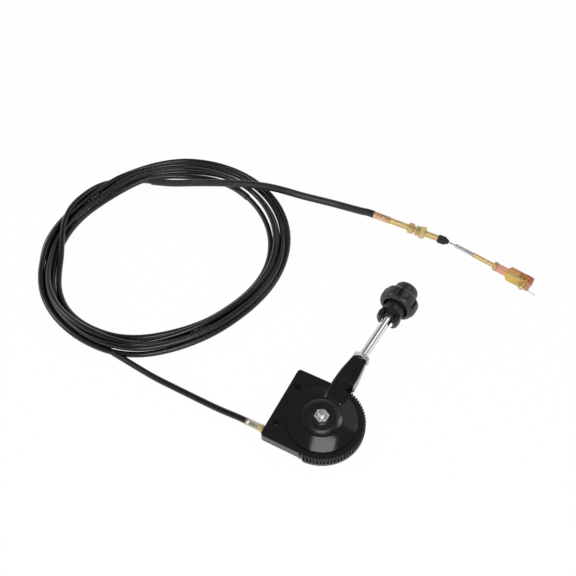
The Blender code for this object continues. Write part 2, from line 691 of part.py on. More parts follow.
def build_pivot(finishes, head, lever):
    """Stud, friction washer, disc spring, pressure cap and nut, which clamp the hub."""
    zinc, fibre, black, steel = finishes
    flange_low = COVER_SEAT
    flange_high = flange_low + STUD_FLANGE
    spigot_low = COVER_THICK - STUD_SPIGOT + GAP
    edge = STUD_RADIUS * 0.15
    piece("pivot_stud", turned([
        (0, spigot_low), (STUD_SPIGOT_RADIUS, spigot_low), (STUD_SPIGOT_RADIUS, flange_low),
        (STUD_FLANGE_RADIUS, flange_low), (STUD_FLANGE_RADIUS, flange_high),
        (STUD_RADIUS, flange_high), (STUD_RADIUS, STUD_TOP - edge),
        (STUD_RADIUS - edge, STUD_TOP), (0, STUD_TOP)], SMALL_ROUND), zinc, head)
    piece("friction_washer", ring(FRICTION_INNER, FRICTION_OUTER, FRICTION_BOTTOM,
                                  FRICTION_BOTTOM + FRICTION_THICK, DRUM_ROUND), fibre, head)
    high = SPRING_BOTTOM + SPRING_RISE
    piece("disc_spring", turned([
        (SPRING_OUTER, SPRING_BOTTOM), (SPRING_OUTER, SPRING_BOTTOM + SPRING_THICK),
        (SPRING_INNER, high + SPRING_THICK), (SPRING_INNER, high)], DRUM_ROUND), steel, lever)
    rim_top = CAP_BOTTOM + CAP_RIM
    cap_top = CAP_BOTTOM + CAP_HEIGHT
    piece("pressure_cap", turned([
        (STUD_BORE, CAP_BOTTOM), (CAP_RADIUS, CAP_BOTTOM), (CAP_RADIUS, rim_top),
        (CAP_FLAT_RADIUS * 0.55 + CAP_RADIUS * 0.45, cap_top * 0.72 + rim_top * 0.28),
        (CAP_FLAT_RADIUS, cap_top), (CAP_WELL_RADIUS, cap_top), (CAP_WELL_RADIUS, WELL_FLOOR),
        (STUD_BORE, WELL_FLOOR)]), black, lever)
    hex_nut("pivot_nut", PIVOT_NUT_FLATS, PIVOT_NUT_THICK, STUD_BORE, zinc, head,
            PIVOT_NUT_BOTTOM, (0, 0, 0))


def shape_boss_top(lever, pocket_end):
    """Tool bodies for the boss's top: a shelf round the raised pad and a pocket beside the root."""
    over = BASE_HEIGHT * 4
    wide = 2 * BOSS_WAIST_HALF
    past = BOSS_OUTER + SHELF_MARGIN
    step = prism([(pocket_end, -wide), (past, -wide), (past, wide),
                  (BOSS_OUTER - SHELF_MARGIN, wide), (BOSS_OUTER - SHELF_MARGIN, RIDGE_END_Y),
                  (pocket_end, RIDGE_POCKET_Y)], 0, over)
    above = side_prism([
        (BOSS_TOP_KNEE_X, BOSS_TOP_KNEE_Z - SHELF_DEPTH),
        (BOSS_TOP_SHOULDER_X, BOSS_TOP_SHOULDER_Z - SHELF_DEPTH),
        (past, BOSS_TOP_END_Z - SHELF_DEPTH), (past, over), (BOSS_TOP_KNEE_X, over)], wide * 1.5)
    shelf = cutter(step, lever)
    combine(shelf, "INTERSECT", [cutter(above, lever)])
    inside = BOSS_INNER - SHELF_MARGIN
    pocket = prism([(inside, RIDGE_ROOT_Y), (inside, -wide), (pocket_end, -wide),
                    (pocket_end, RIDGE_POCKET_Y)], POCKET_FLOOR_Z, over)
    return [shelf, cutter(pocket, lever)]


def build_hub(finish, head, lever, tilt):
    """Cone disc and lever boss, one casting, with the pawl's chamber and the rod's socket."""
    edge_top = HUB_BOTTOM + HUB_EDGE
    cone_top = HUB_BOTTOM + HUB_CONE_HEIGHT
    inner = CAP_RADIUS + GAP + 0.0001
    hub = piece("lever_hub", turned([
        (STUD_BORE, HUB_BOTTOM), (HUB_RADIUS, HUB_BOTTOM), (HUB_RADIUS, edge_top),
        (inner + HUB_LIP, cone_top), (STUD_BORE, cone_top)], 40), finish, lever)
    side = [
        (BOSS_INNER, HUB_BOTTOM + BASE_EDGE / 3), (SKIRT_INNER, HUB_BOTTOM + BASE_EDGE / 3),
        (SKIRT_INNER, SKIRT_BOTTOM_Z), (SKIRT_HEEL_X, SKIRT_BOTTOM_Z), (BOSS_OUTER, SKIRT_END_Z),
        (BOSS_OUTER, BOSS_TOP_END_Z), (BOSS_TOP_SHOULDER_X, BOSS_TOP_SHOULDER_Z),
        (BOSS_TOP_KNEE_X, BOSS_TOP_KNEE_Z), (BOSS_INNER, BOSS_TOP_ROOT_Z)]
    plan = [(BOSS_INNER - 0.001, BOSS_ROOT_HALF), (BOSS_WAIST_X, BOSS_WAIST_HALF),
            (BOSS_SHOULDER_X, BOSS_SHOULDER_HALF), (BOSS_OUTER + 0.001, BOSS_END_HALF)]
    plan = [(x, -half) for x, half in plan] + [(x, half) for x, half in reversed(plan)]
    boss = cutter(side_prism(side, BOSS_WAIST_HALF * 1.5), lever)
    combine(boss, "INTERSECT", [cutter(prism(plan, 0, BASE_HEIGHT * 3), lever)])
    round_edges(boss, BOSS_EDGE, 2, 50)
    out = LOCK_STROKE_OUT + RUN_GAP
    head_in = PAWL_HEAD_INNER - LOCK_STROKE_IN - RUN_GAP
    foot_in = SKIRT_INNER - BOSS_EDGE - RUN_GAP
    combine(boss, "DIFFERENCE", shape_boss_top(lever, head_in - POCKET_WALL))
    combine(hub, "UNION", [boss])
    chamber = [
        (foot_in, 0.0), (PAWL_FOOT_OUTER + out, 0.0),
        (PAWL_FOOT_OUTER + out, PAWL_STEP_Z - 0.002), (PAWL_HEAD_OUTER + out, PAWL_STEP_Z),
        (PAWL_HEAD_OUTER + out, PAWL_TOP_Z + RUN_GAP), (head_in, PAWL_TOP_Z + RUN_GAP),
        (head_in, PAWL_STEP_Z + 0.001 + RUN_GAP), (foot_in, PAWL_STEP_Z + RUN_GAP)]
    along = (0, math.pi / 2, 0)
    dog = rod(DOG_RADIUS + BORE_GAP, 0, HUB_FLOOR * 2, ROUND)
    key = cutter(dog, head)
    flat = DOG_FLAT + BORE_GAP
    combine(key, "INTERSECT", [cutter(box((-DOG_RADIUS * 2, -flat, -BASE_HEIGHT),
                                          (DOG_RADIUS * 2, flat, BASE_HEIGHT * 3)), head)])
    hole_x, hole_z = BOSS_SIDE_HOLE
    side_hole = cutter(rod(BOSS_SIDE_HOLE_RADIUS, 0, BOSS_WAIST_HALF, 12), lever,
                       (hole_x, -BOSS_SHOULDER_HALF + BOSS_SIDE_HOLE_DEPTH, hole_z),
                       (math.pi / 2, 0, 0))
    combine(hub, "DIFFERENCE", [
        cutter(rod(inner, HUB_FLOOR, BASE_HEIGHT * 3, 40), lever), key,
        cutter(side_prism(chamber, PAWL_HALF_WIDTH + RUN_GAP), lever),
        cutter(rod(LOCK_SPRING_BORE, RELEASE_ROD_START, ROD_SEAT + GAP), tilt, (0, 0, 0), along),
        cutter(rod(ROD_RADIUS + BORE_GAP, ROD_SEAT, BOSS_OUTER * 1.2), tilt, (0, 0, 0), along),
        side_hole])
    return hub


def build_lock(steel, black, lever, tilt):
    """Pawl, release rod, cross pin and spring: lifting the collar draws the pawl out."""
    tooth_root = PAWL_TIP_X + PAWL_TOOTH_HEIGHT
    side = [
        (tooth_root, PAWL_BOTTOM_Z), (PAWL_FOOT_OUTER, PAWL_BOTTOM_Z),
        (PAWL_FOOT_OUTER, PAWL_STEP_Z - 0.001), (PAWL_HEAD_OUTER, PAWL_STEP_Z + 0.001),
        (PAWL_HEAD_OUTER, PAWL_TOP_Z), (PAWL_HEAD_INNER, PAWL_TOP_Z),
        (PAWL_HEAD_INNER, PAWL_STEP_Z + 0.001), (tooth_root, PAWL_STEP_Z)]
    pawl = piece("lock_pawl", side_prism(side, PAWL_HALF_WIDTH), steel, lever)
    spacing = (BASE_HALF_WIDTH + TOOTH_HEIGHT / 2) * math.radians(TOOTH_PITCH)
    tooth_low = RIM_FLANGE_HEIGHT + 2 * RUN_GAP
    tooth_high = BASE_HEIGHT - TOOTH_TOP_STEP - RUN_GAP
    teeth = []
    for i in (-1, 0, 1):
        middle = i * spacing
        teeth.append(cutter(prism([
            (PAWL_TIP_X, middle - PAWL_TOOTH_TIP / 2),
            (tooth_root + 0.001, middle - PAWL_TOOTH_BASE / 2 - 0.0001),
            (tooth_root + 0.001, middle + PAWL_TOOTH_BASE / 2 + 0.0001),
            (PAWL_TIP_X, middle + PAWL_TOOTH_TIP / 2)],
            max(tooth_low, PAWL_BOTTOM_Z + 0.0002), tooth_high), lever))
    combine(pawl, "UNION", teeth)
    along = (0, math.pi / 2, 0)
    combine(pawl, "DIFFERENCE", [
        cutter(rod(RELEASE_ROD_RADIUS + BORE_GAP, RELEASE_ROD_START - GAP, PAWL_HEAD_OUTER * 1.2),
               tilt, (0, 0, 0), along)])
    release = piece("release_rod", rod(RELEASE_ROD_RADIUS, RELEASE_ROD_START, RELEASE_ROD_END),
                    steel, tilt, (0, 0, 0), along)
    across = (math.pi / 2, 0, 0)
    station = (CROSS_PIN_STATION, 0, 0)
    hole = rod(CROSS_PIN_RADIUS + BORE_GAP / 2, -3 * ROD_RADIUS, 3 * ROD_RADIUS, 16)
    combine(release, "DIFFERENCE", [cutter(hole, tilt, station, across)])
    piece("collar_pin", rod(CROSS_PIN_RADIUS, -CROSS_PIN_HALF, CROSS_PIN_HALF, 16),
          steel, tilt, station, across)
    first = PAWL_HEAD_OUTER + LOCK_SPRING_WIRE + 2 * GAP
    last = ROD_SEAT - LOCK_SPRING_WIRE - GAP
    count = LOCK_SPRING_TURNS * 9
    helix = []
    for i in range(count + 1):
        y, z = polar(LOCK_SPRING_RADIUS, 40 * i)
        helix.append((first + (last - first) * i / count, y, z))
    piece("lock_spring", tube(helix, LOCK_SPRING_WIRE, 1), steel, tilt)
    return pawl


def build_lever(chrome, zinc, black, tilt):
    """Hollow rod, jam nut, lobed knob with its cap, and the winged collar under it."""
    along = (0, math.pi / 2, 0)
    across = (math.pi / 2, 0, 0)
    web_low = KNOB_START + KNOB_HOLLOW_DEPTH
    web_high = web_low + KNOB_WEB
    rod_end = web_high - GAP
    lever_rod = piece("lever_rod", ring(ROD_BORE_RADIUS, ROD_RADIUS, ROD_SEAT + GAP, rod_end, 24),
                      chrome, tilt, (0, 0, 0), along)
    slot_low = CROSS_PIN_STATION - LOCK_STROKE_IN - CROSS_PIN_RADIUS - RUN_GAP
    slot_high = CROSS_PIN_STATION + LOCK_STROKE_OUT + CROSS_PIN_RADIUS + RUN_GAP
    slot_half = CROSS_PIN_RADIUS + BORE_GAP
    combine(lever_rod, "DIFFERENCE", [
        cutter(box((slot_low, -2 * ROD_RADIUS, -slot_half), (slot_high, 2 * ROD_RADIUS, slot_half)),
               tilt)])
    nut_station = BOSS_OUTER / math.cos(math.radians(LEVER_PITCH)) + 2 * RUN_GAP
    hex_nut("rod_jam_nut", JAM_NUT_FLATS, JAM_NUT_THICK, ROD_RADIUS + BORE_GAP, zinc, tilt,
            nut_station, along, 30)
    spigot = KNOB_SPIGOT_RADIUS + BORE_GAP
    rod_hole = ROD_RADIUS + BORE_GAP
    r = KNOB_RADIUS
    knob = piece("knob", turned([
        (spigot, KNOB_END), (r - 0.0075, KNOB_END), (r - 0.0035, KNOB_END - 0.0010),
        (r - 0.0010, KNOB_END - 0.0034), (r, KNOB_END - 0.0070), (r, KNOB_START + 0.0070),
        (r - 0.0010, KNOB_START + 0.0034), (r - 0.0033, KNOB_START + 0.0008),
        (r - 0.0055, KNOB_START), (KNOB_HOLLOW_RADIUS, KNOB_START), (KNOB_HOLLOW_RADIUS, web_low),
        (rod_hole, web_low), (rod_hole, web_high), (spigot, web_high)]),
        black, tilt, (0, 0, 0), along)
    notches = []
    for i in range(KNOB_LOBES):
        y, z = polar(KNOB_NOTCH_CIRCLE, 360 / KNOB_LOBES * (i + 0.5))
        notch = rod(KNOB_NOTCH_RADIUS, KNOB_START - 0.005, KNOB_END + 0.005, 16)
        notches.append(cutter(notch, tilt, (0, y, z), along))
    combine(knob, "DIFFERENCE", notches)
    dome = CAP_DOME_RADIUS
    low = KNOB_END + GAP
    high = CAP_TIP
    rise = high - low
    piece("knob_cap", turned([
        (0, high), (dome * 0.42, high - rise * 0.025), (dome * 0.74, high - rise * 0.13),
        (dome * 0.93, high - rise * 0.34), (dome, high - rise * 0.62), (dome, low + rise * 0.08),
        (dome * 0.97, low), (KNOB_SPIGOT_RADIUS, low), (KNOB_SPIGOT_RADIUS, web_high + GAP),
        (0, web_high + GAP)]), black, tilt, (0, 0, 0), along)
    bore = ROD_RADIUS + COLLAR_BORE_GAP
    collar = piece("lift_collar", turned([
        (bore, COLLAR_START), (COLLAR_SLEEVE_RADIUS, COLLAR_START),
        (COLLAR_SLEEVE_RADIUS, WING_ROOT - 0.0010), (WING_INNER_RADIUS - 0.0006, WING_ROOT),
        (WING_INNER_RADIUS, WING_TIP + 0.0035), (WING_INNER_RADIUS - 0.0012, WING_TIP + 0.0004),
        (WING_INNER_RADIUS + 0.0008, WING_TIP), (WING_OUTER_RADIUS - 0.0008, WING_TIP + 0.0026),
        (WING_OUTER_RADIUS, WING_TIP + 0.0070), (WING_OUTER_RADIUS - 0.0006, WING_ROOT - 0.0015),
        (COLLAR_NECK_RADIUS - 0.0006, WING_ROOT + 0.0022), (COLLAR_NECK_RADIUS, WING_ROOT + 0.0060),
        (COLLAR_NECK_RADIUS, COLLAR_END), (bore, COLLAR_END)],
        COLLAR_ROUND), black, tilt, (0, 0, 0), along)
    reach = 2 * WING_OUTER_RADIUS
    for side in (-1, 1):
        low_z, high_z = sorted((side * WING_HALF_WIDTH, side * reach))
        window = cutter(box((WING_TIP - 0.005, -reach, low_z), (WING_ROOT - 0.0010, reach, high_z)),
                        tilt)
        keep = rod(COLLAR_SLEEVE_RADIUS + 0.00005, WING_TIP - 0.01, WING_ROOT + 0.01, COLLAR_ROUND)
        combine(window, "DIFFERENCE", [cutter(keep, tilt, (0, 0, 0), along)])
        combine(collar, "DIFFERENCE", [window])
    hole = rod(CROSS_PIN_RADIUS + BORE_GAP / 2, -2 * WING_OUTER_RADIUS, 2 * WING_OUTER_RADIUS, 16)
    combine(collar, "DIFFERENCE", [cutter(hole, tilt, (CROSS_PIN_STATION, 0, 0), across)])


def build_head_ferrule(finish, head):
    """Crimped ferrule with a collar and a spigot in the housing's rear wall."""
    spigot_end = FERRULE_SPIGOT
    collar_start = -GAP - FERRULE_COLLAR
    body_start = collar_start - FERRULE_LENGTH
    waist = FERRULE_RADIUS * 0.93
    bore = WIRE_RADIUS + BORE_GAP
    piece("head_ferrule", turned([
        (bore, body_start), (FERRULE_RADIUS, body_start),
        (FERRULE_RADIUS, body_start + FERRULE_LENGTH * 0.16),
        (waist, body_start + FERRULE_LENGTH * 0.22), (waist, body_start + FERRULE_LENGTH * 0.70),
        (FERRULE_RADIUS, body_start + FERRULE_LENGTH * 0.76), (FERRULE_RADIUS, collar_start),
        (FERRULE_COLLAR_RADIUS, collar_start), (FERRULE_COLLAR_RADIUS, -GAP),
        (FERRULE_SPIGOT_RADIUS, -GAP), (FERRULE_SPIGOT_RADIUS, spigot_end), (bore, spigot_end)],
        SMALL_ROUND), finish, head, (-BASE_REAR, -WIRE_PITCH_RADIUS, CABLE_Z), (0, math.pi / 2, 0))
    return body_start


def build_cables(black, sleeve_black, ferrule_start):
    """The conduit from the head to the coil, the coil's outer shape, and the sleeved run."""
    start = []
    for extra in (GAP, 0.004):
        x, y = rotated((-BASE_REAR + ferrule_start - extra, -WIRE_PITCH_RADIUS), HEAD_AZIMUTH)
        start.append((x, y, CABLE_Z))
    lead = start[:1] + smooth_route(start[1:] + HEAD_ROUTE, 5 * CABLE_RADIUS)
    piece("cable_lead_head", tube(lead, CABLE_RADIUS), black, None)

    profile = bpy.data.curves.new("band", "CURVE")
    profile.dimensions = "2D"
    spline = profile.splines.new("POLY")
    half = COIL_BAND / 2
    top = COIL_LAYERS * CABLE_RADIUS
    soft = CABLE_RADIUS
    outline = []
    for x, z, first in ((half - soft, top - soft, 0), (-half + soft, top - soft, 90),
                        (-half + soft, -top + soft, 180), (half - soft, -top + soft, 270)):
        outline += arc((x, z), soft, first, first + 90, 1)
    outline.reverse()
    spline.points.add(len(outline) - 1)
    for point, (x, z) in zip(spline.points, outline):
        point.co = (x, z, 0, 1)
    spline.use_cyclic_u = True
    band = bpy.data.objects.new("band", profile)
    band.hide_render = True
    band.display_type = "WIRE"
    CUTTERS.objects.link(band)
    path = bpy.data.curves.new("coil", "CURVE")
    path.dimensions = "2D"
    path.fill_mode = "NONE"
    path.bevel_mode = "OBJECT"
    path.bevel_object = band
    loop = path.splines.new("POLY")
    count = 48
    loop.points.add(count - 1)
    for i, point in enumerate(loop.points):
        angle = 2 * math.pi * i / count
        x, y = rotated((COIL_LONG * math.cos(angle), COIL_SHORT * math.sin(angle)), COIL_TURN)
        point.co = (x, y, 0, 1)
    loop.use_cyclic_u = True
    obj = bpy.data.objects.new("coil", path)
    bpy.context.scene.collection.objects.link(obj)
    piece("cable_coil", realise(obj, "coil"), black, None, (*COIL_CENTRE, top))

    end = []
    for station in (-0.008, -GAP):
        x, y = rotated((station, 0), FITTING_AZIMUTH)
        end.append((FITTING_START[0] + x, FITTING_START[1] + y, FITTING_Z))
    run = smooth_route(END_ROUTE + end[:1], 4 * SLEEVE_RADIUS) + end[1:]
    piece("end_sleeve", tube(run, SLEEVE_RADIUS), sleeve_black, None)


def build_fitting(finishes, fitting):
    """Crimp ferrule, threaded tube, two nuts and two lock washers, and the rubber wiper cap."""
    copper, yellow, rubber = finishes
    along = (0, math.pi / 2, 0)
    bore = CRIMP_RADIUS - CRIMP_WALL
    dip = CRIMP_RADIUS - CRIMP_GROOVE
    outer = [(CRIMP_RADIUS, 0.0)]
    for share in (0.22, 0.45, 0.68):
        middle = CRIMP_LENGTH * share
        outer += [(CRIMP_RADIUS, middle - 0.0012), (dip, middle - 0.0006),
                  (dip, middle + 0.0006), (CRIMP_RADIUS, middle + 0.0012)]
    outer += [(CRIMP_RADIUS, CRIMP_LENGTH)]
    piece("crimp_ferrule", turned([(bore, 0.0)] + outer + [(bore, CRIMP_LENGTH)], SMALL_ROUND),
          copper, fitting, (0, 0, 0), along)
    shank = bore - BORE_GAP
    shoulder = CRIMP_LENGTH + GAP
    edge = 0.0004
    piece("threaded_tube", turned([
        (TUBE_BORE, CRIMP_LENGTH - TUBE_SHANK), (shank, CRIMP_LENGTH - TUBE_SHANK),
        (shank, shoulder), (TUBE_RADIUS, shoulder), (TUBE_RADIUS, TUBE_END - edge),
        (TUBE_RADIUS - edge, TUBE_END), (TUBE_BORE, TUBE_END)], SMALL_ROUND),
        yellow, fitting, (0, 0, 0), along)
    nuts = zip(BULKHEAD_NUT_STATIONS, BULKHEAD_NUT_ROLLS)
    for number, (station, roll) in enumerate(nuts, 1):
        hex_nut(f"bulkhead_nut_{number}", BULKHEAD_NUT_FLATS, BULKHEAD_NUT_THICK,
                TUBE_RADIUS + BORE_GAP, yellow, fitting, station, along, roll)
    for number, station in enumerate(LOCK_WASHER_STATIONS, 1):
        washer = piece(f"lock_washer_{number}",
                       ring(TUBE_RADIUS + BORE_GAP, LOCK_WASHER_RADIUS, 0, LOCK_WASHER_THICK, 20),
                       yellow, fitting, (station, 0, 0), along)
        half = LOCK_WASHER_SLIT / 2
        slit = cutter(box((-LOCK_WASHER_THICK, 0, -half),
                          (2 * LOCK_WASHER_THICK, 2 * LOCK_WASHER_RADIUS, half)), fitting,
                      (station, 0, 0), (math.radians(35 + 150 * number), 0, 0))
        combine(washer, "DIFFERENCE", [slit])
    hole = CORE_RADIUS + BORE_GAP
    pocket = TUBE_RADIUS + BORE_GAP
    piece("wiper_cap", turned([
        (pocket, WIPER_START), (WIPER_RADIUS - 0.0003, WIPER_START),
        (WIPER_RADIUS, WIPER_START + 0.0005), (WIPER_RADIUS, WIPER_SHOULDER - 0.0005),
        (WIPER_RADIUS - 0.0006, WIPER_SHOULDER), (WIPER_TIP_RADIUS, WIPER_END),
        (hole, WIPER_END), (hole, TUBE_END + GAP), (pocket, TUBE_END + GAP)], SMALL_ROUND),
        rubber, fitting, (0, 0, 0), along)


def build_moving_end(finishes, fitting, rod_frame):
    """Inner wire, its crimped sleeve, the threaded rod, jam nut and clevis with its pin."""
    wire_steel, zinc, yellow, copper = finishes
    along = (0, math.pi / 2, 0)
    turn = ROD_END_AZIMUTH - FITTING_AZIMUTH
    points = [(CORE_START + (BEND_STATION - BEND_TANGENT - CORE_START) * i / 4, 0, 0)
              for i in range(5)]
    bend = BEND_STATION
    for i in range(1, 5):
        share = i / 4
        middle = bend - BEND_TANGENT + 2 * BEND_TANGENT * share * (1 - share) * 0.5
        straight = Vector((middle, 0, 0)).lerp(Vector((bend, 0, 0)), share)
        out = Vector((*rotated((BEND_TANGENT * share, 0), turn), 0))
        points.append(tuple(straight + out * share))
    wire_end = CORE_SLEEVE_START + CORE_DEPTH
    for distance in (wire_end / 2, wire_end):
        x, y = rotated((distance, 0), turn)
        points.append((bend + x, y, 0))
    piece("inner_wire", tube(points, CORE_RADIUS), wire_steel, fitting)
    edge = 0.0005
    piece("core_sleeve", turned([
        (CORE_SLEEVE_BORE, CORE_SLEEVE_START), (CORE_SLEEVE_RADIUS - edge, CORE_SLEEVE_START),
        (CORE_SLEEVE_RADIUS, CORE_SLEEVE_START + edge), (CORE_SLEEVE_RADIUS, CORE_SLEEVE_END - edge),
        (CORE_SLEEVE_RADIUS - edge, CORE_SLEEVE_END), (CORE_SLEEVE_BORE, CORE_SLEEVE_END)],
        SMALL_ROUND), zinc, rod_frame, (0, 0, 0), along)
    spigot = CORE_SLEEVE_BORE - BORE_GAP
    shoulder = CORE_SLEEVE_END + GAP
    piece("end_rod", turned([
        (0, CORE_SLEEVE_END - END_ROD_SPIGOT), (spigot, CORE_SLEEVE_END - END_ROD_SPIGOT),
        (spigot, shoulder), (END_ROD_RADIUS, shoulder), (END_ROD_RADIUS, END_ROD_END),
        (0, END_ROD_END)], SMALL_ROUND), yellow, rod_frame, (0, 0, 0), along)
    thread_hole = END_ROD_RADIUS + BORE_GAP
    hex_nut("clevis_jam_nut", CLEVIS_NUT_FLATS, CLEVIS_NUT_THICK, thread_hole, yellow,
            rod_frame, CLEVIS_NUT_STATION, along)
    build_clevis(copper, yellow, wire_steel, rod_frame, thread_hole)


def build_clevis(copper, yellow, steel, rod_frame, thread_hole):
    """Square fork on a round neck, its pin and washer, and the split pin that keeps it."""
    along = (0, math.pi / 2, 0)
    end = CLEVIS_START + CLEVIS_LENGTH
    box_start = CLEVIS_START + CLEVIS_NECK
    half = CLEVIS_BOX / 2
    fork = piece("clevis", box((box_start, -half, -half), (end, half, half)), copper, rod_frame)
    round_edges(fork, CLEVIS_EDGE, 2, 60)
    corner = half * 1.5
    cone = turned([(0, box_start - CLEVIS_CONE), (half - CLEVIS_CONE, box_start - CLEVIS_CONE),
                   (corner, box_start + corner - half), (corner, end + half - corner + CLEVIS_NOSE),
                   (half + CLEVIS_NOSE, end), (half, end + CLEVIS_NOSE), (0, end + CLEVIS_NOSE)],
                  SMALL_ROUND)
    combine(fork, "INTERSECT", [cutter(cone, rod_frame, (0, 0, 0), along)])
    neck = rod(CLEVIS_NECK_RADIUS, CLEVIS_START, box_start + half, 24)
    combine(fork, "UNION", [cutter(neck, rod_frame, (0, 0, 0), along)])
    slot_half = CLEVIS_SLOT / 2
    slot_start = end - CLEVIS_SLOT_DEPTH
    pin_x = end - PIN_FROM_END
    across = (math.pi / 2, 0, 0)
    combine(fork, "DIFFERENCE", [
        cutter(box((slot_start, -slot_half, -2 * half), (2 * end, slot_half, 2 * half)), rod_frame),
        cutter(rod(thread_hole, 0, slot_start + CLEVIS_SLOT / 2), rod_frame, (0, 0, 0), along),
        cutter(rod(PIN_RADIUS + BORE_GAP, -2 * half, 2 * half), rod_frame, (pin_x, 0, 0), across)])
    head_low = half + GAP
    tip = half + 2 * GAP + PIN_WASHER_THICK + PIN_PROUD
    pin = piece("clevis_pin", turned([
        (0, -head_low - PIN_HEAD), (PIN_HEAD_RADIUS, -head_low - PIN_HEAD),
        (PIN_HEAD_RADIUS, -head_low), (PIN_RADIUS, -head_low), (PIN_RADIUS, tip - 0.0005),
        (PIN_RADIUS - 0.0005, tip), (0, tip)], SMALL_ROUND), yellow, rod_frame, (pin_x, 0, 0), across)
    washer_low = half + GAP
    piece("pin_washer", ring(PIN_RADIUS + BORE_GAP, PIN_WASHER_RADIUS, washer_low,
                             washer_low + PIN_WASHER_THICK, SMALL_ROUND),
          yellow, rod_frame, (pin_x, 0, 0), across)
    split_y = -(washer_low + PIN_WASHER_THICK + 2 * GAP + SPLIT_EYE)
    leg_gap = SPLIT_WIRE + GAP / 2
    hole = cutter(rod(leg_gap + SPLIT_WIRE + BORE_GAP, -2 * PIN_RADIUS, 2 * PIN_RADIUS, 12),
                  rod_frame, (pin_x, split_y, 0), along)
    combine(pin, "DIFFERENCE", [hole])
    eye_x = pin_x - PIN_RADIUS - 2 * SPLIT_EYE
    legs = [(pin_x + SPLIT_LONG_LEG, split_y - 0.0020, leg_gap),
            (pin_x + SPLIT_LONG_LEG * 0.6, split_y - 0.0007, leg_gap),
            (pin_x + PIN_RADIUS, split_y, leg_gap), (eye_x + 1.7 * SPLIT_EYE, split_y, leg_gap)]
    legs += [(eye_x + SPLIT_EYE * math.cos(math.radians(a)), split_y,
              SPLIT_EYE * math.sin(math.radians(a))) for a in range(60, 301, 30)]
    legs += [(eye_x + 1.7 * SPLIT_EYE, split_y, -leg_gap),
             (pin_x + PIN_RADIUS, split_y, -leg_gap),
             (pin_x + SPLIT_SHORT_LEG, split_y, -leg_gap - 0.0012)]
    piece("split_pin", tube(legs, SPLIT_WIRE, 1), steel, rod_frame)


def build():
    """Clear the scene and model the whole part."""
    global PARTS, CUTTERS
    for obj in list(bpy.data.objects):
        bpy.data.objects.remove(obj)
    PARTS = collection("throttle_cable")
    CUTTERS = collection("tools")
    black = material("black_casting", (0.014, 0.014, 0.015), 0.38, 0.0)
    knob_black = material("black_knob", (0.018, 0.018, 0.019), 0.45, 0.0)
    cable_black = material("cable_jacket", (0.020, 0.020, 0.021), 0.42, 0.0)
    rubber = material("rubber", (0.012, 0.012, 0.012), 0.75, 0.0)
    fibre = material("friction_fibre", (0.110, 0.080, 0.060), 0.90, 0.0)
    drum_grey = material("drum_plastic", (0.550, 0.540, 0.500), 0.50, 0.0)
    chrome = material("chromed_rod", (0.620, 0.620, 0.630), 0.12, 1.0)
    zinc = material("bright_zinc", (0.580, 0.580, 0.600), 0.30, 1.0)
    steel = material("steel", (0.380, 0.380, 0.390), 0.35, 1.0)
    nickel = material("nickel_ferrule", (0.480, 0.440, 0.360), 0.33, 1.0)
    yellow = material("yellow_zinc", (0.490, 0.360, 0.110), 0.35, 1.0)
    copper = material("red_zinc", (0.640, 0.270, 0.180), 0.30, 1.0)

    head = frame_empty("head_frame", turn=(0, 0, math.radians(HEAD_AZIMUTH)))
    lever = frame_empty("lever_frame", turn=(0, 0, math.radians(LEVER_AZIMUTH)))
    tilt = frame_empty("lever_axis", (0, 0, LEVER_AXIS_Z), (0, -math.radians(LEVER_PITCH), 0), lever)
    fitting = frame_empty("fitting_axis", (*FITTING_START, FITTING_Z),
                          (0, 0, math.radians(FITTING_AZIMUTH)))
    rod_frame = frame_empty("rod_axis", (BEND_STATION, 0, 0),
                            (0, 0, math.radians(ROD_END_AZIMUTH - FITTING_AZIMUTH)), fitting)

    build_base(black, head)
    build_cover(black, zinc, head)
    build_drum(drum_grey, steel, head)
    build_core_wire(steel, head)
    build_pivot((zinc, fibre, black, steel), head, lever)
    build_hub(black, head, lever, tilt)
    build_lock(steel, knob_black, lever, tilt)
    build_lever(chrome, zinc, knob_black, tilt)
    ferrule_start = build_head_ferrule(nickel, head)
    build_cables(cable_black, cable_black, ferrule_start)
    build_fitting((copper, yellow, rubber), fitting)
    build_moving_end((steel, zinc, yellow, copper), fitting, rod_frame)


build()
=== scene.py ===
# %% [markdown]
# # A hand throttle with its coiled control cable
# The solids of the control are already modelled at their real size. This lesson loads them as a
# fixed frame and gives each piece its finished surface: cast and painted metal, bright and yellow
# zinc plate, moulded plastic, and a jacketed cable that lies in a loose coil on a white table.

# %% Load the frame
import json
import math

import bmesh
import bpy
import numpy as np
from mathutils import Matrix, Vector


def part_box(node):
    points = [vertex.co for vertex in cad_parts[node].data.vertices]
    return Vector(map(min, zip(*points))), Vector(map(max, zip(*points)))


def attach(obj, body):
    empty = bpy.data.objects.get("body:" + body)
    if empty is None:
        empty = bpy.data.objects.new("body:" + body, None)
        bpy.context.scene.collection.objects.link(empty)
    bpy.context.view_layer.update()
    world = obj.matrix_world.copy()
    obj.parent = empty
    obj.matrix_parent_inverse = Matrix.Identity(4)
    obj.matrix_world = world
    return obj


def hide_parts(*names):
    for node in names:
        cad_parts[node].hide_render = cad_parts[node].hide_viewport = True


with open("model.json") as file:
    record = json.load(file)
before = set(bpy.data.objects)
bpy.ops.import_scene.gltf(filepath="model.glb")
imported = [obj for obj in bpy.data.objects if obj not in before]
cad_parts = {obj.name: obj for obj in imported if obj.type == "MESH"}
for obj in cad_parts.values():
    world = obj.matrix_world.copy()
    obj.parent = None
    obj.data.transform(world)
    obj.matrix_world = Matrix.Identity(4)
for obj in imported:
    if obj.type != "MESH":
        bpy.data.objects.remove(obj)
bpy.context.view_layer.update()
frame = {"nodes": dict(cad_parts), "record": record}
BODY_OF = {node: body for body, nodes in frame["record"]["behaviour"]["bodies"].items()
           for node in nodes}
SLOT_OF = {part["node"]: part["material_slot"] for part in frame["record"]["subparts"]}
MM = 0.001
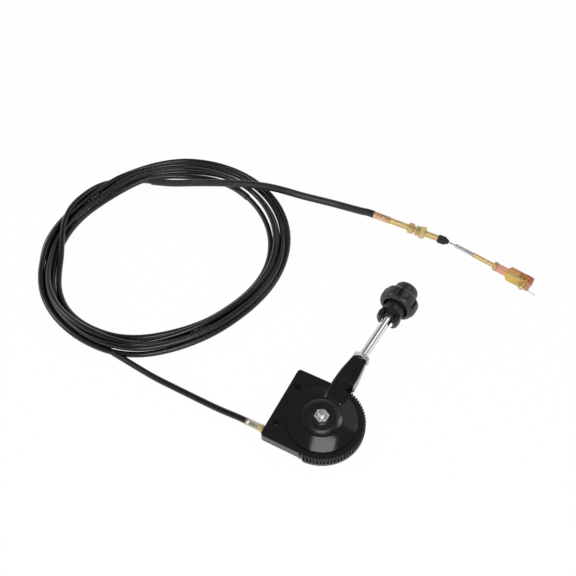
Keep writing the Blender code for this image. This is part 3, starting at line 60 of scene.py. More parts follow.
print("pieces in the frame:", len(BODY_OF))

# %% [markdown]
# ## The camera
# The photograph looks down on the table at 51 degrees. With the object at its real size, one lens
# and one place put the rim, the nuts and the coil where the photograph has them.

# %% Camera
camera_data = bpy.data.cameras.new("camera")
camera_data.lens = 43.75
camera_data.sensor_width = 36.0
camera_data.clip_start = 0.01
camera = bpy.data.objects.new("camera", camera_data)
camera.location = (-0.03294, -0.33028, 0.63123)
camera.rotation_euler = (math.radians(90 - 51.34), 0, 0)
bpy.context.scene.collection.objects.link(camera)
bpy.context.scene.camera = camera
print("camera at", tuple(camera.location))

# %% [markdown]
# ## The axes
# Five axes carry every turned piece: the upright pivot, the head's own length, the lever rod, the
# bulkhead fitting and the rod of the clevis. Each is a point and three directions: along the
# axis, to its left, and up.


# %% Axes
def axis(origin, azimuth, pitch=0.0):
    """An axis from its origin, its direction on the table and the angle by which it rises."""
    turn, rise = math.radians(azimuth), math.radians(pitch)
    along = np.array([math.cos(turn) * math.cos(rise), math.sin(turn) * math.cos(rise),
                      math.sin(rise)])
    left = np.array([-math.sin(turn), math.cos(turn), 0.0])
    return np.array(origin), along, left, np.cross(along, left)


def on_axis(line, station, left=0.0, up=0.0):
    """The point at a station of an axis."""
    return line[0] + line[1] * station + line[2] * left + line[3] * up


CABLE_Z = 4.75 * MM
PIVOT = (np.zeros(3), np.array([0, 0, 1.0]), np.array([1.0, 0, 0]), np.array([0, 1.0, 0]))
HEAD = axis((0, 0, 0), -27.5)
FERRULE = (on_axis(HEAD, -46.3 * MM, -33.0 * MM, CABLE_Z), *HEAD[1:])
LEVER = axis((0, 0, 14.0 * MM), 57.0, 2.9)
FITTING = axis((74.4 * MM, 285.85 * MM, 7.4 * MM), -28.4)
CLEVIS = axis(on_axis(FITTING, 101.5 * MM), -38.4)
print("clevis axis starts at", CLEVIS[0].round(4))

# %% [markdown]
# ## The cable's route
# The cable comes straight out of its ferrule, joins the coil from outside, goes round it clockwise
# nearly five and a half times, crosses over the bundle on the left, dives under it at the top left
# and runs over the coil's far side to the end fitting. The coil is worked out in slices: at each
# angle every turn has a radius and a height. The radii start from the inner and outer edge that
# the bundle shows. Then the turns are let settle: they sink, and push each other apart until no
# two are closer than a diameter.

# %% Coil: first guess of every turn
CABLE_RADIUS = 3.25 * MM
SLEEVE_RADIUS = 4.6 * MM
COIL_CENTRE = np.array([-0.182, 0.234])
START_ANGLE = 259.0
SLICES = 96
TURNS = 5.43
OUTER_EDGE = {0: 151, 16: 155, 37: 159.5, 60: 162, 86: 161.5, 112: 149.5, 134: 141, 156: 141,
              170: 146.5, 196: 148.5, 212: 152, 232: 154, 264: 157.5, 285: 148.5, 310: 142.5,
              325: 143.5}
INNER_EDGE = {8: 125.4, 38: 126, 59: 128, 82: 122, 106: 116, 126: 112.5, 143: 111.7, 161: 115.9,
              190: 122, 212: 132, 228: 137, 249: 134.8, 262: 131, 283: 122.3, 313: 118.6,
              343: 124}
# Share of the way from the inner to the outer edge, by turns made since the cable joined the coil
SHARE = [(-0.02, 0.85), (0.04, 0.66), (0.12, 0.72), (0.22, 0.98), (0.45, 1.00), (0.75, 1.00),
         (0.90, 1.00), (0.98, 1.03), (1.04, 1.08), (1.12, 1.02), (1.22, 0.78), (1.45, 0.77),
         (1.58, 0.77), (1.70, 0.78), (1.80, 0.84), (1.95, 0.82), (2.10, 0.64), (2.25, 0.54),
         (2.45, 0.52), (2.58, 0.43), (2.70, 0.43), (2.80, 0.46), (2.95, 0.50), (3.10, 0.42),
         (3.25, 0.32), (3.45, 0.27), (3.58, 0.32), (3.70, 0.31), (3.80, 0.30), (3.95, 0.26),
         (4.10, 0.22), (4.25, 0.08), (4.45, 0.03), (4.65, 0.00), (4.80, 0.00), (4.95, 0.00),
         (5.08, -0.08), (5.16, -0.28), (5.205, -0.22), (5.25, 0.25), (5.285, 0.82), (5.32, 0.99),
         (5.37, 1.00), (5.40, 0.45), (5.43, 0.02)]
LAYER = [(-0.02, 0.0), (0.25, 0.0), (0.33, 1.2), (0.46, 1.2), (0.55, 0.0), (0.9, 0.2), (1.0, 1.0),
         (1.25, 1.0), (1.33, 2.2), (1.46, 2.2), (1.55, 1.0), (1.9, 1.0), (2.2, 0.0), (2.33, 1.2),
         (2.46, 1.2), (2.55, 0.0), (2.8, 0.0), (3.0, 1.0), (3.25, 1.0), (3.33, 2.2), (3.46, 2.2),
         (3.55, 1.0), (3.9, 1.0), (4.1, 0.0), (4.25, 0.0), (4.33, 1.2), (4.46, 1.2), (4.55, 0.0),
         (5.14, 0.0), (5.19, 1.6), (5.29, 2.2), (5.32, 0.6), (5.345, 0.0), (5.43, 0.0)]


def around(table, angle):
    """Read a table of angle to millimetres, which closes on itself after a full turn."""
    keys = sorted(table)
    return np.interp(angle % 360, keys, [table[k] for k in keys], period=360) * MM


def smooth_keys(keys, where):
    """Read pairs of (turn, value) with a smooth step between neighbours."""
    at, value = np.array(keys).T
    i = np.clip(np.searchsorted(at, where, side="right") - 1, 0, len(at) - 2)
    t = np.clip((where - at[i]) / (at[i + 1] - at[i]), 0, 1)
    t = t * t * (3 - 2 * t)
    return value[i] + (value[i + 1] - value[i]) * t


turn = np.arange(round(TURNS * SLICES) + 1) / SLICES
angle = START_ANGLE - 360 * turn
inner = around(INNER_EDGE, angle) + CABLE_RADIUS
outer = around(OUTER_EDGE, angle) - CABLE_RADIUS
wanted = inner + (outer - inner) * smooth_keys(SHARE, turn)
height = CABLE_RADIUS * (1 + 1.8 * smooth_keys(LAYER, turn))
print("slices of coil:", len(turn))


# %% Coil: let the turns settle
def soften(values, times):
    """Average each value with its neighbours along the cable, leaving both ends."""
    for _ in range(times):
        values = values.copy()
        values[1:-1] = (values[:-2] + 2 * values[1:-1] + values[2:]) / 4
    return values


SINK = 0.06 * MM    # how far a turn sinks in one round
DRAW = 0.16         # share of the way back to its wanted radius in one round
AIR = 1.015         # distance kept between two turns, in diameters
PRESS = 0.45        # share of an overlap that is pushed apart in one round


def settle(wanted, height, floor, rounds=420):
    """Sink every point, draw it to its wanted radius, and push points of one slice apart."""
    radius = soften(wanted, 3)
    wanted = radius.copy()
    level = soften(height, 3)
    spacing = 2 * CABLE_RADIUS * AIR
    for _ in range(rounds):
        level = level - SINK
        radius = radius + DRAW * (wanted - radius)
        push_r = np.zeros_like(radius)
        push_z = np.zeros_like(level)
        for laps in range(1, 6):
            gap_r = radius[laps * SLICES:] - radius[:-laps * SLICES]
            gap_z = level[laps * SLICES:] - level[:-laps * SLICES]
            apart = np.hypot(gap_r, gap_z) + 1e-9
            press = np.clip(spacing - apart, 0, None) * PRESS
            push_r[laps * SLICES:] += press * gap_r / apart
            push_z[laps * SLICES:] += press * gap_z / apart
            push_r[:-laps * SLICES] -= press * gap_r / apart
            push_z[:-laps * SLICES] -= press * gap_z / apart
        radius = radius + soften(push_r, 2)
        level = np.maximum(level + soften(push_z, 2), floor)
        level = soften(level, 1)
    return soften(radius, 1), np.maximum(soften(level, 1), floor)


# The two sleeves are thicker than the jacket, so they hold the cable up from the table
floor = CABLE_RADIUS + MM * smooth_keys([
    (0, 0), (4.49, 0), (4.54, 1), (4.62, 1), (4.67, 0), (5.35, 0.1), (5.41, 1.4), (6, 1.4)], turn)
coil_radius, coil_level = settle(wanted, height, floor)
turned_by = np.radians(angle)
coil_points = np.c_[COIL_CENTRE[0] + coil_radius * np.cos(turned_by),
                    COIL_CENTRE[1] + coil_radius * np.sin(turned_by), coil_level]
print("coil is", round(coil_level.max() * 1000 + 3.25, 1), "mm high")

# %% Cable: ferrule, lead, coil and run in one line
CABLE_START = on_axis(FERRULE, -20.6 * MM)
CABLE_END = on_axis(FITTING, -0.3 * MM)
LEAD_ROUTE = [CABLE_START, on_axis(FERRULE, -24.5 * MM), (-0.0835, 0.0062, 0.0046),
              (-0.1020, 0.0149, 0.0039), (-0.1210, 0.0250, 0.0035), (-0.1400, 0.0352, 0.0034),
              (-0.1600, 0.0460, 0.0034), (-0.1800, 0.0575, 0.0034)]
RUN_ROUTE = [(-0.1860, 0.3438, 0.0066), (-0.1600, 0.3410, 0.0096), (-0.1340, 0.3362, 0.0142),
             (-0.1080, 0.3316, 0.0178), (-0.0820, 0.3290, 0.0184), (-0.0560, 0.3238, 0.0184),
             (-0.0360, 0.3173, 0.0178), (-0.0160, 0.3122, 0.0146), (0.0040, 0.3095, 0.0104),
             (0.0240, 0.3060, 0.0070), (0.0420, 0.3005, 0.0056), (0.0580, 0.2940, 0.0058),
             on_axis(FITTING, -8.0 * MM), CABLE_END]


def through(points, spacing):
    """Even points on a smooth curve, made of cubics whose slopes come from their neighbours."""
    p = np.array(points)
    p = np.vstack([2 * p[0] - p[1], p, 2 * p[-1] - p[-2]])
    a, b, c, d = p[:-3, None], p[1:-2, None], p[2:-1, None], p[3:, None]
    t = np.linspace(0, 1, 12, endpoint=False)[None, :, None]
    dense = 0.5 * (2 * b + (c - a) * t + (2 * a - 5 * b + 4 * c - d) * t ** 2
                   + (3 * b - a - 3 * c + d) * t ** 3)
    dense = np.vstack([dense.reshape(-1, 3), p[-2]])
    walked = np.r_[0, np.cumsum(np.linalg.norm(np.diff(dense, axis=0), axis=1))]
    at = np.linspace(0, walked[-1], round(walked[-1] / spacing) + 1)
    return np.c_[[np.interp(at, walked, dense[:, k]) for k in range(3)]].T


def walk(points):
    """Distance along the points from the first one."""
    return np.r_[0, np.cumsum(np.linalg.norm(np.diff(points, axis=0), axis=1))]


guide = np.vstack([LEAD_ROUTE, coil_points[4::3], RUN_ROUTE])
cable_path = through(guide, 5 * MM)
middle = cable_path[2:-3]
for _ in range(3):
    middle[1:-1] = (middle[:-2] + 2 * middle[1:-1] + middle[2:]) / 4
cable_length = walk(cable_path)[-1]
print("cable length:", round(cable_length, 3), "m")

# %% [markdown]
# ## Finishes
# Every colour is written as the sRGB value that the eye knows and is turned to linear once. One
# small function adds a shader node, so that each finish reads as a short list of what it does.
# Patterns read Object coordinates in metres, so a grain of 0.4 mm has a scale of 1 / 0.4 mm.

# %% Helpers for finishes
def linear(code):
    """An sRGB hex colour as linear red, green, blue and alpha."""
    channels = [int(code[i:i + 2], 16) / 255 for i in (1, 3, 5)]
    return (*[c / 12.92 if c <= 0.04045 else ((c + 0.055) / 1.055) ** 2.4 for c in channels], 1.0)


def add(tree, kind, inputs=None, **settings):
    """Add a node, apply its settings, and fill its inputs with values or other nodes' outputs."""
    made = tree.nodes.new(kind)
    for name, value in settings.items():
        setattr(made, name, value)
    for name, value in (inputs or {}).items():
        if isinstance(value, bpy.types.NodeSocket):
            tree.links.new(value, made.inputs[name])
        else:
            made.inputs[name].default_value = value
    return made


def blank(name):
    """A new material: its node tree, its shader and its Object coordinates."""
    made = bpy.data.materials.new(name)
    made.use_nodes = True
    tree = made.node_tree
    place = add(tree, "ShaderNodeTexCoord").outputs["Object"]
    return made, tree, tree.nodes["Principled BSDF"], place


def surface(name, deep, pale, patch, rough, grain, bump, metallic=0.0, specular=0.5):
    """A plain finish: two close tones in soft patches, a roughness that varies, and a fine grain.

    patch and grain are sizes in metres, rough is (lowest, highest), bump is the grain's height."""
    made, tree, shader, place = blank(name)
    cloud = add(tree, "ShaderNodeTexNoise", {"Vector": place, "Scale": 1 / patch, "Detail": 4.0})
    tone = add(tree, "ShaderNodeMix", {"Factor": cloud.outputs["Fac"], "A": linear(deep),
                                       "B": linear(pale)}, data_type="RGBA")
    fine = add(tree, "ShaderNodeTexNoise", {"Vector": place, "Scale": 1 / grain, "Detail": 2.0})
    gloss = add(tree, "ShaderNodeMapRange", {"Value": cloud.outputs["Fac"], "From Min": 0.3,
                                             "From Max": 0.7, "To Min": rough[0],
                                             "To Max": rough[1]})
    relief = add(tree, "ShaderNodeBump", {"Height": fine.outputs["Fac"], "Distance": bump,
                                          "Strength": 1.0})
    tree.links.new(tone.outputs["Result"], shader.inputs["Base Color"])
    tree.links.new(gloss.outputs["Result"], shader.inputs["Roughness"])
    tree.links.new(relief.outputs["Normal"], shader.inputs["Normal"])
    shader.inputs["Metallic"].default_value = metallic
    shader.inputs["Specular IOR Level"].default_value = specular
    return made


# %% Helpers for finishes that follow a place
def own_place(tree, place, line):
    """Object coordinates turned into distances along an axis, to its left, and up."""
    back = np.array(line[1:]) @ line[0]
    turn = math.atan2(line[1][1], line[1][0])
    turned_place = add(tree, "ShaderNodeMapping", {
        "Vector": place, "Location": tuple(-back), "Rotation": (0, 0, -turn)})
    return add(tree, "ShaderNodeSeparateXYZ", {"Vector": turned_place.outputs["Vector"]}).outputs


def ramp(tree, value, low, high, out_low=0.0, out_high=1.0):
    """A value's way from one number to another, held at both ends."""
    return add(tree, "ShaderNodeMapRange", {
        "Value": value, "From Min": low, "From Max": high, "To Min": out_low,
        "To Max": out_high}).outputs["Result"]


def blend_of(tree, factor, first, second):
    """Two colours mixed by a factor; each is an sRGB code or the output of another node."""
    ends = [linear(colour) if isinstance(colour, str) else colour for colour in (first, second)]
    return add(tree, "ShaderNodeMix", {"Factor": factor, "A": ends[0], "B": ends[1]},
               data_type="RGBA").outputs["Result"]


# %% The finishes
FINISH = {
    # Stoved black paint over a zinc casting: deep, glossy, with a trace of orange peel
    "casting": surface("black_paint_on_casting", "#0d0d0e", "#131314", 9 * MM, (0.07, 0.11),
                       1.6 * MM, 0.002 * MM, specular=0.62),
    # Black oxide on pressed steel: satin, so a light spreads on it
    "pressing": surface("black_oxide_on_pressing", "#0e0e0f", "#131314", 7 * MM, (0.17, 0.22),
                        0.8 * MM, 0.006 * MM, specular=0.60),
    "knob_black": surface("moulded_black_nylon", "#171718", "#1f1f20", 6 * MM, (0.30, 0.40),
                          0.5 * MM, 0.01 * MM, specular=0.50),
    "cable_jacket": surface("black_pvc_jacket", "#0a0a0b", "#101011", 30 * MM, (0.20, 0.28),
                            0.8 * MM, 0.001 * MM, specular=0.50),
    "sleeve": surface("black_rubber_sleeve", "#121214", "#19191b", 12 * MM, (0.34, 0.44),
                      0.6 * MM, 0.02 * MM, specular=0.50),
    "rubber": surface("black_rubber", "#060607", "#0c0c0d", 5 * MM, (0.40, 0.52), 0.6 * MM,
                      0.02 * MM, specular=0.45),
    "fibre": surface("friction_fibre", "#4a4038", "#6a5c50", 2 * MM, (0.85, 0.95), 0.4 * MM,
                     0.05 * MM),
    "drum": surface("natural_nylon", "#c9c5b8", "#d6d2c6", 8 * MM, (0.45, 0.55), 0.6 * MM,
                    0.01 * MM),
    "chrome": surface("chromed_steel", "#dcdcdd", "#e4e4e5", 12 * MM, (0.19, 0.23), 0.6 * MM,
                      0.0001 * MM, metallic=1.0),
    "zinc": surface("bright_zinc_plate", "#c4c4c6", "#dadadc", 3 * MM, (0.26, 0.34), 0.6 * MM,
                    0.0008 * MM, metallic=1.0),
    "steel": surface("plain_steel", "#a6a6a8", "#c4c4c6", 3 * MM, (0.28, 0.42), 0.3 * MM,
                     0.006 * MM, metallic=1.0),
    "nickel": surface("dull_nickel_plate", "#b5aa98", "#d2c9b6", 3 * MM, (0.26, 0.40), 0.3 * MM,
                      0.006 * MM, metallic=1.0),
    "yellow_zinc": surface("yellow_zinc_plate", "#bfa468", "#e2cd96", 4 * MM, (0.30, 0.40),
                           0.6 * MM, 0.001 * MM, metallic=0.8),
    "red_zinc": surface("iridescent_zinc_plate", "#cf9a78", "#eccfae", 7 * MM, (0.26, 0.34),
                        0.6 * MM, 0.001 * MM, metallic=0.9),
}
print("finishes:", len(FINISH))

# %% [markdown]
# ### The base's paint
# The rim's teeth are left rough by the casting mould and hold a dull coat, while the plate and the
# flange below the teeth are smooth and glossy.

# %% The base's paint
TOOTH_ROOT, TOOTH_LOW, TOOTH_HIGH = 42.2 * MM, 4.2 * MM, 10.45 * MM
paint, tree, shader, place = blank("black_paint_on_base")
cloud = add(tree, "ShaderNodeTexNoise", {"Vector": place, "Scale": 1 / (9 * MM), "Detail": 4.0})
peel = add(tree, "ShaderNodeTexNoise", {"Vector": place, "Scale": 1 / (1.6 * MM), "Detail": 2.0})
along, left, up = own_place(tree, place, HEAD)
flat_place = add(tree, "ShaderNodeCombineXYZ", {"X": along, "Y": left}).outputs["Vector"]
from_pivot = add(tree, "ShaderNodeVectorMath", {0: flat_place}, operation="LENGTH").outputs["Value"]
on_teeth = ramp(tree, from_pivot, TOOTH_ROOT, TOOTH_ROOT + 0.2 * MM)
for limit in (ramp(tree, up, TOOTH_LOW - 0.2 * MM, TOOTH_LOW), ramp(tree, along, 0, 1 * MM),
              ramp(tree, up, TOOTH_HIGH, TOOTH_HIGH + 0.1 * MM, 1, 0)):
    on_teeth = add(tree, "ShaderNodeMath", {0: on_teeth, 1: limit}, operation="MULTIPLY").outputs[0]
gloss = add(tree, "ShaderNodeMath", {
    0: ramp(tree, cloud.outputs["Fac"], 0.3, 0.7, 0.08, 0.12),
    1: ramp(tree, on_teeth, 0, 1, 0, 0.42)}, operation="ADD").outputs[0]
tree.links.new(gloss, shader.inputs["Roughness"])
tree.links.new(blend_of(tree, cloud.outputs["Fac"], "#0d0d0e", "#131314"),
               shader.inputs["Base Color"])
tree.links.new(add(tree, "ShaderNodeBump", {"Height": peel.outputs["Fac"],
                                            "Distance": 0.004 * MM}).outputs["Normal"],
               shader.inputs["Normal"])
shader.inputs["Specular IOR Level"].default_value = 0.62
FINISH["base"] = paint

# %% [markdown]
# ### The clevis's plate
# Yellow chromate on zinc is a thin film, so its colour drifts with its thickness. On this clevis
# it goes from gold near the neck to pink and red at the fork's end and along the far top edge.
# The drift follows the clevis's own length and width, which a Mapping node turns into place.


# %% The clevis's plate
FORK_START, FORK_END = 74.0 * MM, 104.3 * MM
plate, tree, shader, place = blank("chromated_zinc_fork")
along, left, up = own_place(tree, place, CLEVIS)
cloud = add(tree, "ShaderNodeTexNoise", {"Vector": place, "Scale": 1 / (3 * MM), "Detail": 4.0})
drift = add(tree, "ShaderNodeMath", {0: cloud.outputs["Fac"], 1: 9 * MM, 2: along},
            operation="MULTIPLY_ADD").outputs[0]
to_end = ramp(tree, drift, FORK_START + 21 * MM, FORK_END + 4 * MM)
to_far = ramp(tree, left, 0.5 * MM, 5.5 * MM)
on_top = ramp(tree, up, 5.6 * MM, 6.1 * MM)
far_top = add(tree, "ShaderNodeMath", {0: to_far, 1: on_top}, operation="MULTIPLY").outputs[0]
past = ramp(tree, along, FORK_START + 2 * MM, FORK_START + 24 * MM, 0.35, 1.0)
far_top = add(tree, "ShaderNodeMath", {0: far_top, 1: past}, operation="MULTIPLY").outputs[0]
side = blend_of(tree, to_end, "#cdb05c", "#c0806a")
top = blend_of(tree, to_end, "#d0a468", "#c8685c")
body = blend_of(tree, on_top, side, top)
body = blend_of(tree, far_top, body, "#bc444c")
neck = ramp(tree, along, FORK_START - 1.2 * MM, FORK_START + 0.4 * MM)
tree.links.new(blend_of(tree, neck, "#dc9c84", body), shader.inputs["Base Color"])
tree.links.new(ramp(tree, cloud.outputs["Fac"], 0.3, 0.7, 0.26, 0.38), shader.inputs["Roughness"])
shader.inputs["Metallic"].default_value = 0.35
FINISH["fork"] = plate
print("fork from", FORK_START, "to", FORK_END)

# %% [markdown]
# ### The head ferrule's plate
# The crimped body is dull nickel. Its collar, next to the housing, has worn to the brass below.

# %% The head ferrule's plate
plate, tree, shader, place = blank("nickel_plate_on_brass")
along = own_place(tree, place, FERRULE)[0]
cloud = add(tree, "ShaderNodeTexNoise", {"Vector": place, "Scale": 1 / (2 * MM), "Detail": 4.0})
drift = add(tree, "ShaderNodeMath", {0: cloud.outputs["Fac"], 1: 3 * MM, 2: along},
            operation="MULTIPLY_ADD").outputs[0]
brass = ramp(tree, drift, -5.2 * MM, -3.6 * MM)
nickel = blend_of(tree, cloud.outputs["Fac"], "#aaa294", "#cfc7b8")
tree.links.new(blend_of(tree, brass, nickel, "#cdbb88"), shader.inputs["Base Color"])
tree.links.new(ramp(tree, cloud.outputs["Fac"], 0.3, 0.7, 0.26, 0.40), shader.inputs["Roughness"])
shader.inputs["Metallic"].default_value = 1.0
FINISH["worn_nickel"] = plate
print("finishes:", len(FINISH))

# %% [markdown]
# ## Dressing the solids
# The frame's solids are faceted and made of loose triangles. Each is copied, its corners are
# merged, its flats are made single faces again, and only real edges stay sharp. A small bevel
# gives those edges the light line that any real edge shows.


# %% Dress a solid
def seat(piece, *nodes):
    """Let a piece stand for its solids: it joins their body, and they are hidden."""
    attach(piece, BODY_OF[nodes[0]])
    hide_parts(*nodes)
    return piece


def smooth_from(mesh, sharp):
    """Shade a mesh smooth, with every edge over an angle in degrees left sharp."""
    mesh.shade_smooth()
    mesh.set_sharp_from_angle(angle=math.radians(sharp))


def level_flats(piece):
    """Let big faces set the normals at their corners, so that a flat shades as a flat."""
    flats = piece.modifiers.new("flats", "WEIGHTED_NORMAL")
    flats.keep_sharp = True


EDGE = 0.15 * MM


def dress(node, finish, sharp):
    """A finished copy of a solid, with merged corners, smooth rounds and softened edges."""
    shape = bmesh.new()
    shape.from_mesh(frame["nodes"][node].data)
    bmesh.ops.remove_doubles(shape, verts=shape.verts, dist=1e-6)
    bmesh.ops.dissolve_limit(shape, angle_limit=math.radians(0.5), verts=shape.verts,
                             edges=shape.edges)
    mesh = bpy.data.meshes.new(node + "_finished")
    shape.to_mesh(mesh)
    shape.free()
    for layer in ("custom_normal", "sharp_face", "sharp_edge"):
        if layer in mesh.attributes:
            mesh.attributes.remove(mesh.attributes[layer])
    mesh.materials.append(FINISH[finish])
    smooth_from(mesh, sharp)
    piece = bpy.data.objects.new(node + "_finished", mesh)
    bpy.context.scene.collection.objects.link(piece)
    bevel = piece.modifiers.new("edge", "BEVEL")
    bevel.width = EDGE
    bevel.segments = 2
    bevel.limit_method = "ANGLE"
    bevel.angle_limit = math.radians(sharp)
    bevel.harden_normals = True
    level_flats(piece)
    return seat(piece, node)


# %% [markdown]
# ## Turned pieces
# Most of a control cable is turned on a lathe, so one function makes all of it: a profile of
# radius and station, carried round its axis on a grid. A second function may change the radius
# with the angle, which makes screw threads, crimped flats, grip slots and ribs out of the same
# grid. Corners of the profile are eased first, as a tool's nose leaves them.


# %% Turned pieces
def eased(profile, size, ring=True):
    """Round the corners of a profile: a parabola between two points near each corner."""
    p = np.array(profile, dtype=float)
    before, after = np.roll(p, 1, axis=0), np.roll(p, -1, axis=0)
    if not ring:
        before[0], after[-1] = p[0], p[-1]
    step_in, step_out = before - p, after - p
    long_in = np.linalg.norm(step_in, axis=1, keepdims=True) + 1e-12
    long_out = np.linalg.norm(step_out, axis=1, keepdims=True) + 1e-12
    a = p + step_in / long_in * np.minimum(size, 0.4 * long_in)
    b = p + step_out / long_out * np.minimum(size, 0.4 * long_out)
    u = np.linspace(0, 1, 5)[None, :, None]
    points = ((1 - u) ** 2 * a[:, None] + 2 * u * (1 - u) * p[:, None]
              + u ** 2 * b[:, None]).reshape(-1, 2)
    apart = np.linalg.norm(points - np.roll(points, 1, axis=0), axis=1) > 1e-7
    return points[apart]


def finely(profile, step):
    """Put more points on the long straights of a profile, a step apart."""
    p = np.array(profile, dtype=float)
    parts = [np.linspace(a, b, max(1, math.ceil(np.linalg.norm(b - a) / step)), endpoint=False)
             for a, b in zip(p[:-1], p[1:])]
    return np.vstack(parts + [p[-1:]])


def turned(node, profile, line, finish, sides=64, shape=None, sharp=35):
    """A surface on a grid of profile points by angles round an axis.

    A point is origin + station * along + r * (cos t * left + sin t * up). r is the profile's
    radius, or shape(r, station, t). A profile off the axis closes to a ring, and one that
    starts and ends on the axis has a pole at each end."""
    p = np.array(profile, dtype=float)
    following = np.roll(p, -1, axis=0)
    if (p[:, 0] * following[:, 1] - following[:, 0] * p[:, 1]).sum() < 0:
        p = p[::-1]
    ring = p[0, 0] > 1e-7
    t = np.linspace(0, 2 * math.pi, sides, endpoint=False)[None]
    r, station, t = np.broadcast_arrays(p[:, :1], p[:, 1:], t)
    if shape:
        r = shape(r, station, t)
    origin, along, left, up = line
    points = (origin + station[..., None] * along + (r * np.cos(t))[..., None] * left
              + (r * np.sin(t))[..., None] * up)
    row = np.arange(len(p) if ring else len(p) - 1)[:, None]
    column = np.arange(sides)[None]
    next_row, next_column = (row + 1) % len(p), (column + 1) % sides
    faces = np.stack([row * sides + column, row * sides + next_column,
                      next_row * sides + next_column, next_row * sides + column], axis=-1)
    mesh = bpy.data.meshes.new(node + "_finished")
    mesh.from_pydata(points.reshape(-1, 3).tolist(), [], faces.reshape(-1, 4).tolist())
    shape_of = bmesh.new()
    shape_of.from_mesh(mesh)
    bmesh.ops.remove_doubles(shape_of, verts=shape_of.verts, dist=1e-7)
    shape_of.to_mesh(mesh)
    shape_of.free()
    mesh.materials.append(FINISH[finish])
    smooth_from(mesh, sharp)
    piece = bpy.data.objects.new(node + "_finished", mesh)
    bpy.context.scene.collection.objects.link(piece)
    if not shape:
        level_flats(piece)
    DONE.add(node)
    print(node, len(mesh.polygons), "faces")
    return seat(piece, node)


def thread(major, pitch, depth, low, high):
    """A screw thread: a rounded ridge that climbs one pitch a turn and runs out at both ends."""
    def shape(r, station, t):
        wave = 0.5 + 0.5 * np.cos(2 * math.pi * (station / pitch - t / (2 * math.pi)))
        cut = np.clip((station - low) / pitch, 0, 1) * np.clip((high - station) / pitch, 0, 1)
        return r - np.where(np.abs(r - major) < 1e-6, depth * wave * cut, 0)
    return shape


DONE = set()

# %% [markdown]
# ## The pivot
# An M8 stud stands in the pressure cap's well with a thin nut on it. A thread's flanks show as
# three light lines below the stud's end. The cap is a pressing: its crown falls in one soft curve
# to the rim, which is what spreads the light at its near side.

# %% Pivot stud and pressure cap
cap_low, cap_high = (corner[2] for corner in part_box("pressure_cap"))
stud_low, stud_high = (corner[2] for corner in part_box("pivot_stud"))
crown_at = np.linspace(0, 1, 14)
crown = np.c_[20.6 * MM - 6.6 * MM * crown_at,
              cap_low + 0.9 * MM + (cap_high - cap_low - 0.9 * MM) * np.sin(crown_at * math.pi / 2)]
turned("pressure_cap", np.vstack([
    eased([(4.2 * MM, cap_low), (20.6 * MM, cap_low), (20.6 * MM, cap_low + 0.9 * MM)],
          0.2 * MM, ring=False), crown[1:],
    eased([(14.0 * MM, cap_high), (9.2 * MM, cap_high), (9.2 * MM, cap_low + 0.8 * MM),
           (4.2 * MM, cap_low + 0.8 * MM)], 0.25 * MM, ring=False)[1:]]),
    PIVOT, "pressing", sides=96)
stud_profile = [(0, stud_low), (2.9 * MM, stud_low), (2.9 * MM, 1.8 * MM), (7.2 * MM, 1.8 * MM),
                (7.2 * MM, 2.9 * MM), (3.9 * MM, 2.9 * MM), (3.9 * MM, stud_high - 0.6 * MM),
                (3.3 * MM, stud_high), (0, stud_high)]
turned("pivot_stud", finely(stud_profile, 0.16 * MM), PIVOT, "zinc", sides=40, sharp=60,
       shape=thread(3.9 * MM, 1.25 * MM, 0.6 * MM, 13 * MM, stud_high - 0.3 * MM))

# %% [markdown]
# ## The grip
# The knob is moulded with six lobes and a narrow slot between each two. The lobes and slots are
# only on its outer wall, so the radius changes with the angle there and nowhere else. Its end cap
# is a shallow dome with a moulded ring.


# %% Knob and its cap
def lobed(r, station, t):
    """Six rounded lobes: the radius falls towards each slot, and the slot itself is cut deeper."""
    gap = (t - math.pi / 6) % (math.pi / 3)
    gap = np.minimum(gap, math.pi / 3 - gap)
    wall = np.clip((r - 15.5 * MM) / (2.5 * MM), 0, 1)
    slot = np.exp(-(gap * 20 * MM / (1.6 * MM)) ** 6)
    slot = slot * np.clip((station - 157 * MM) / MM, 0, 1)
    slot = slot * np.clip((169 * MM - station) / MM, 0, 1)
    lobe = (1 - gap / (math.pi / 6)) ** 2
    return r - wall * (3.0 * MM * slot + 0.9 * MM * lobe)


knob_profile = [
    (8.3, 174.6), (12.6, 174.6), (13.6, 173.4), (15.4, 171.8), (19.4, 170.4), (21.0, 167.6),
    (21.0, 159.4), (19.8, 156.0), (17.6, 154.0), (15.6, 153.6), (14.2, 154.0), (14.2, 166.0),
    (5.3, 166.0), (5.3, 172.0), (8.3, 172.0)]
knob_profile = finely(eased(np.array(knob_profile) * MM, 1.2 * MM), 0.8 * MM)
turned("knob", knob_profile, LEVER, "knob_black", sides=192, shape=lobed)
cap_profile = np.array([
    (0, 186.2), (5.4, 186.0), (9.4, 185.3), (10.0, 184.7), (10.6, 184.9), (12.2, 183.7),
    (13.3, 181.6), (13.6, 178.4), (13.6, 175.8), (13.0, 174.9), (8.0, 174.9), (8.0, 172.3),
    (0, 172.3)]) * MM
turned("knob_cap", eased(cap_profile, 0.5 * MM, ring=False), LEVER, "knob_black", sides=96)

# %% [markdown]
# ## The cable's ends
# At the head the conduit is held in a ferrule that a press has crimped to a hexagon. At the far
# end a plain crimped ferrule holds an M8 tube, which carries the bulkhead nuts and ends in a
# ribbed rubber wiper. The wire comes out of it, is crimped in a bright sleeve, and goes on as an
# M6 rod to the clevis.


# %% Ferrules, tube, wiper and rod
def crimped(low, high, share):
    """Six flats pressed into a round between two stations, faded over 1 mm at both ends."""
    def shape(r, station, t):
        from_flat = (t + math.pi / 6) % (math.pi / 3) - math.pi / 6
        flat = r * math.cos(math.pi / 6) / np.cos(from_flat)
        pressed = np.clip((station - low) / MM, 0, 1) * np.clip((high - station) / MM, 0, 1)
        return np.where(r > 2.6 * MM, r + (flat - r) * share * pressed, r)
    return shape


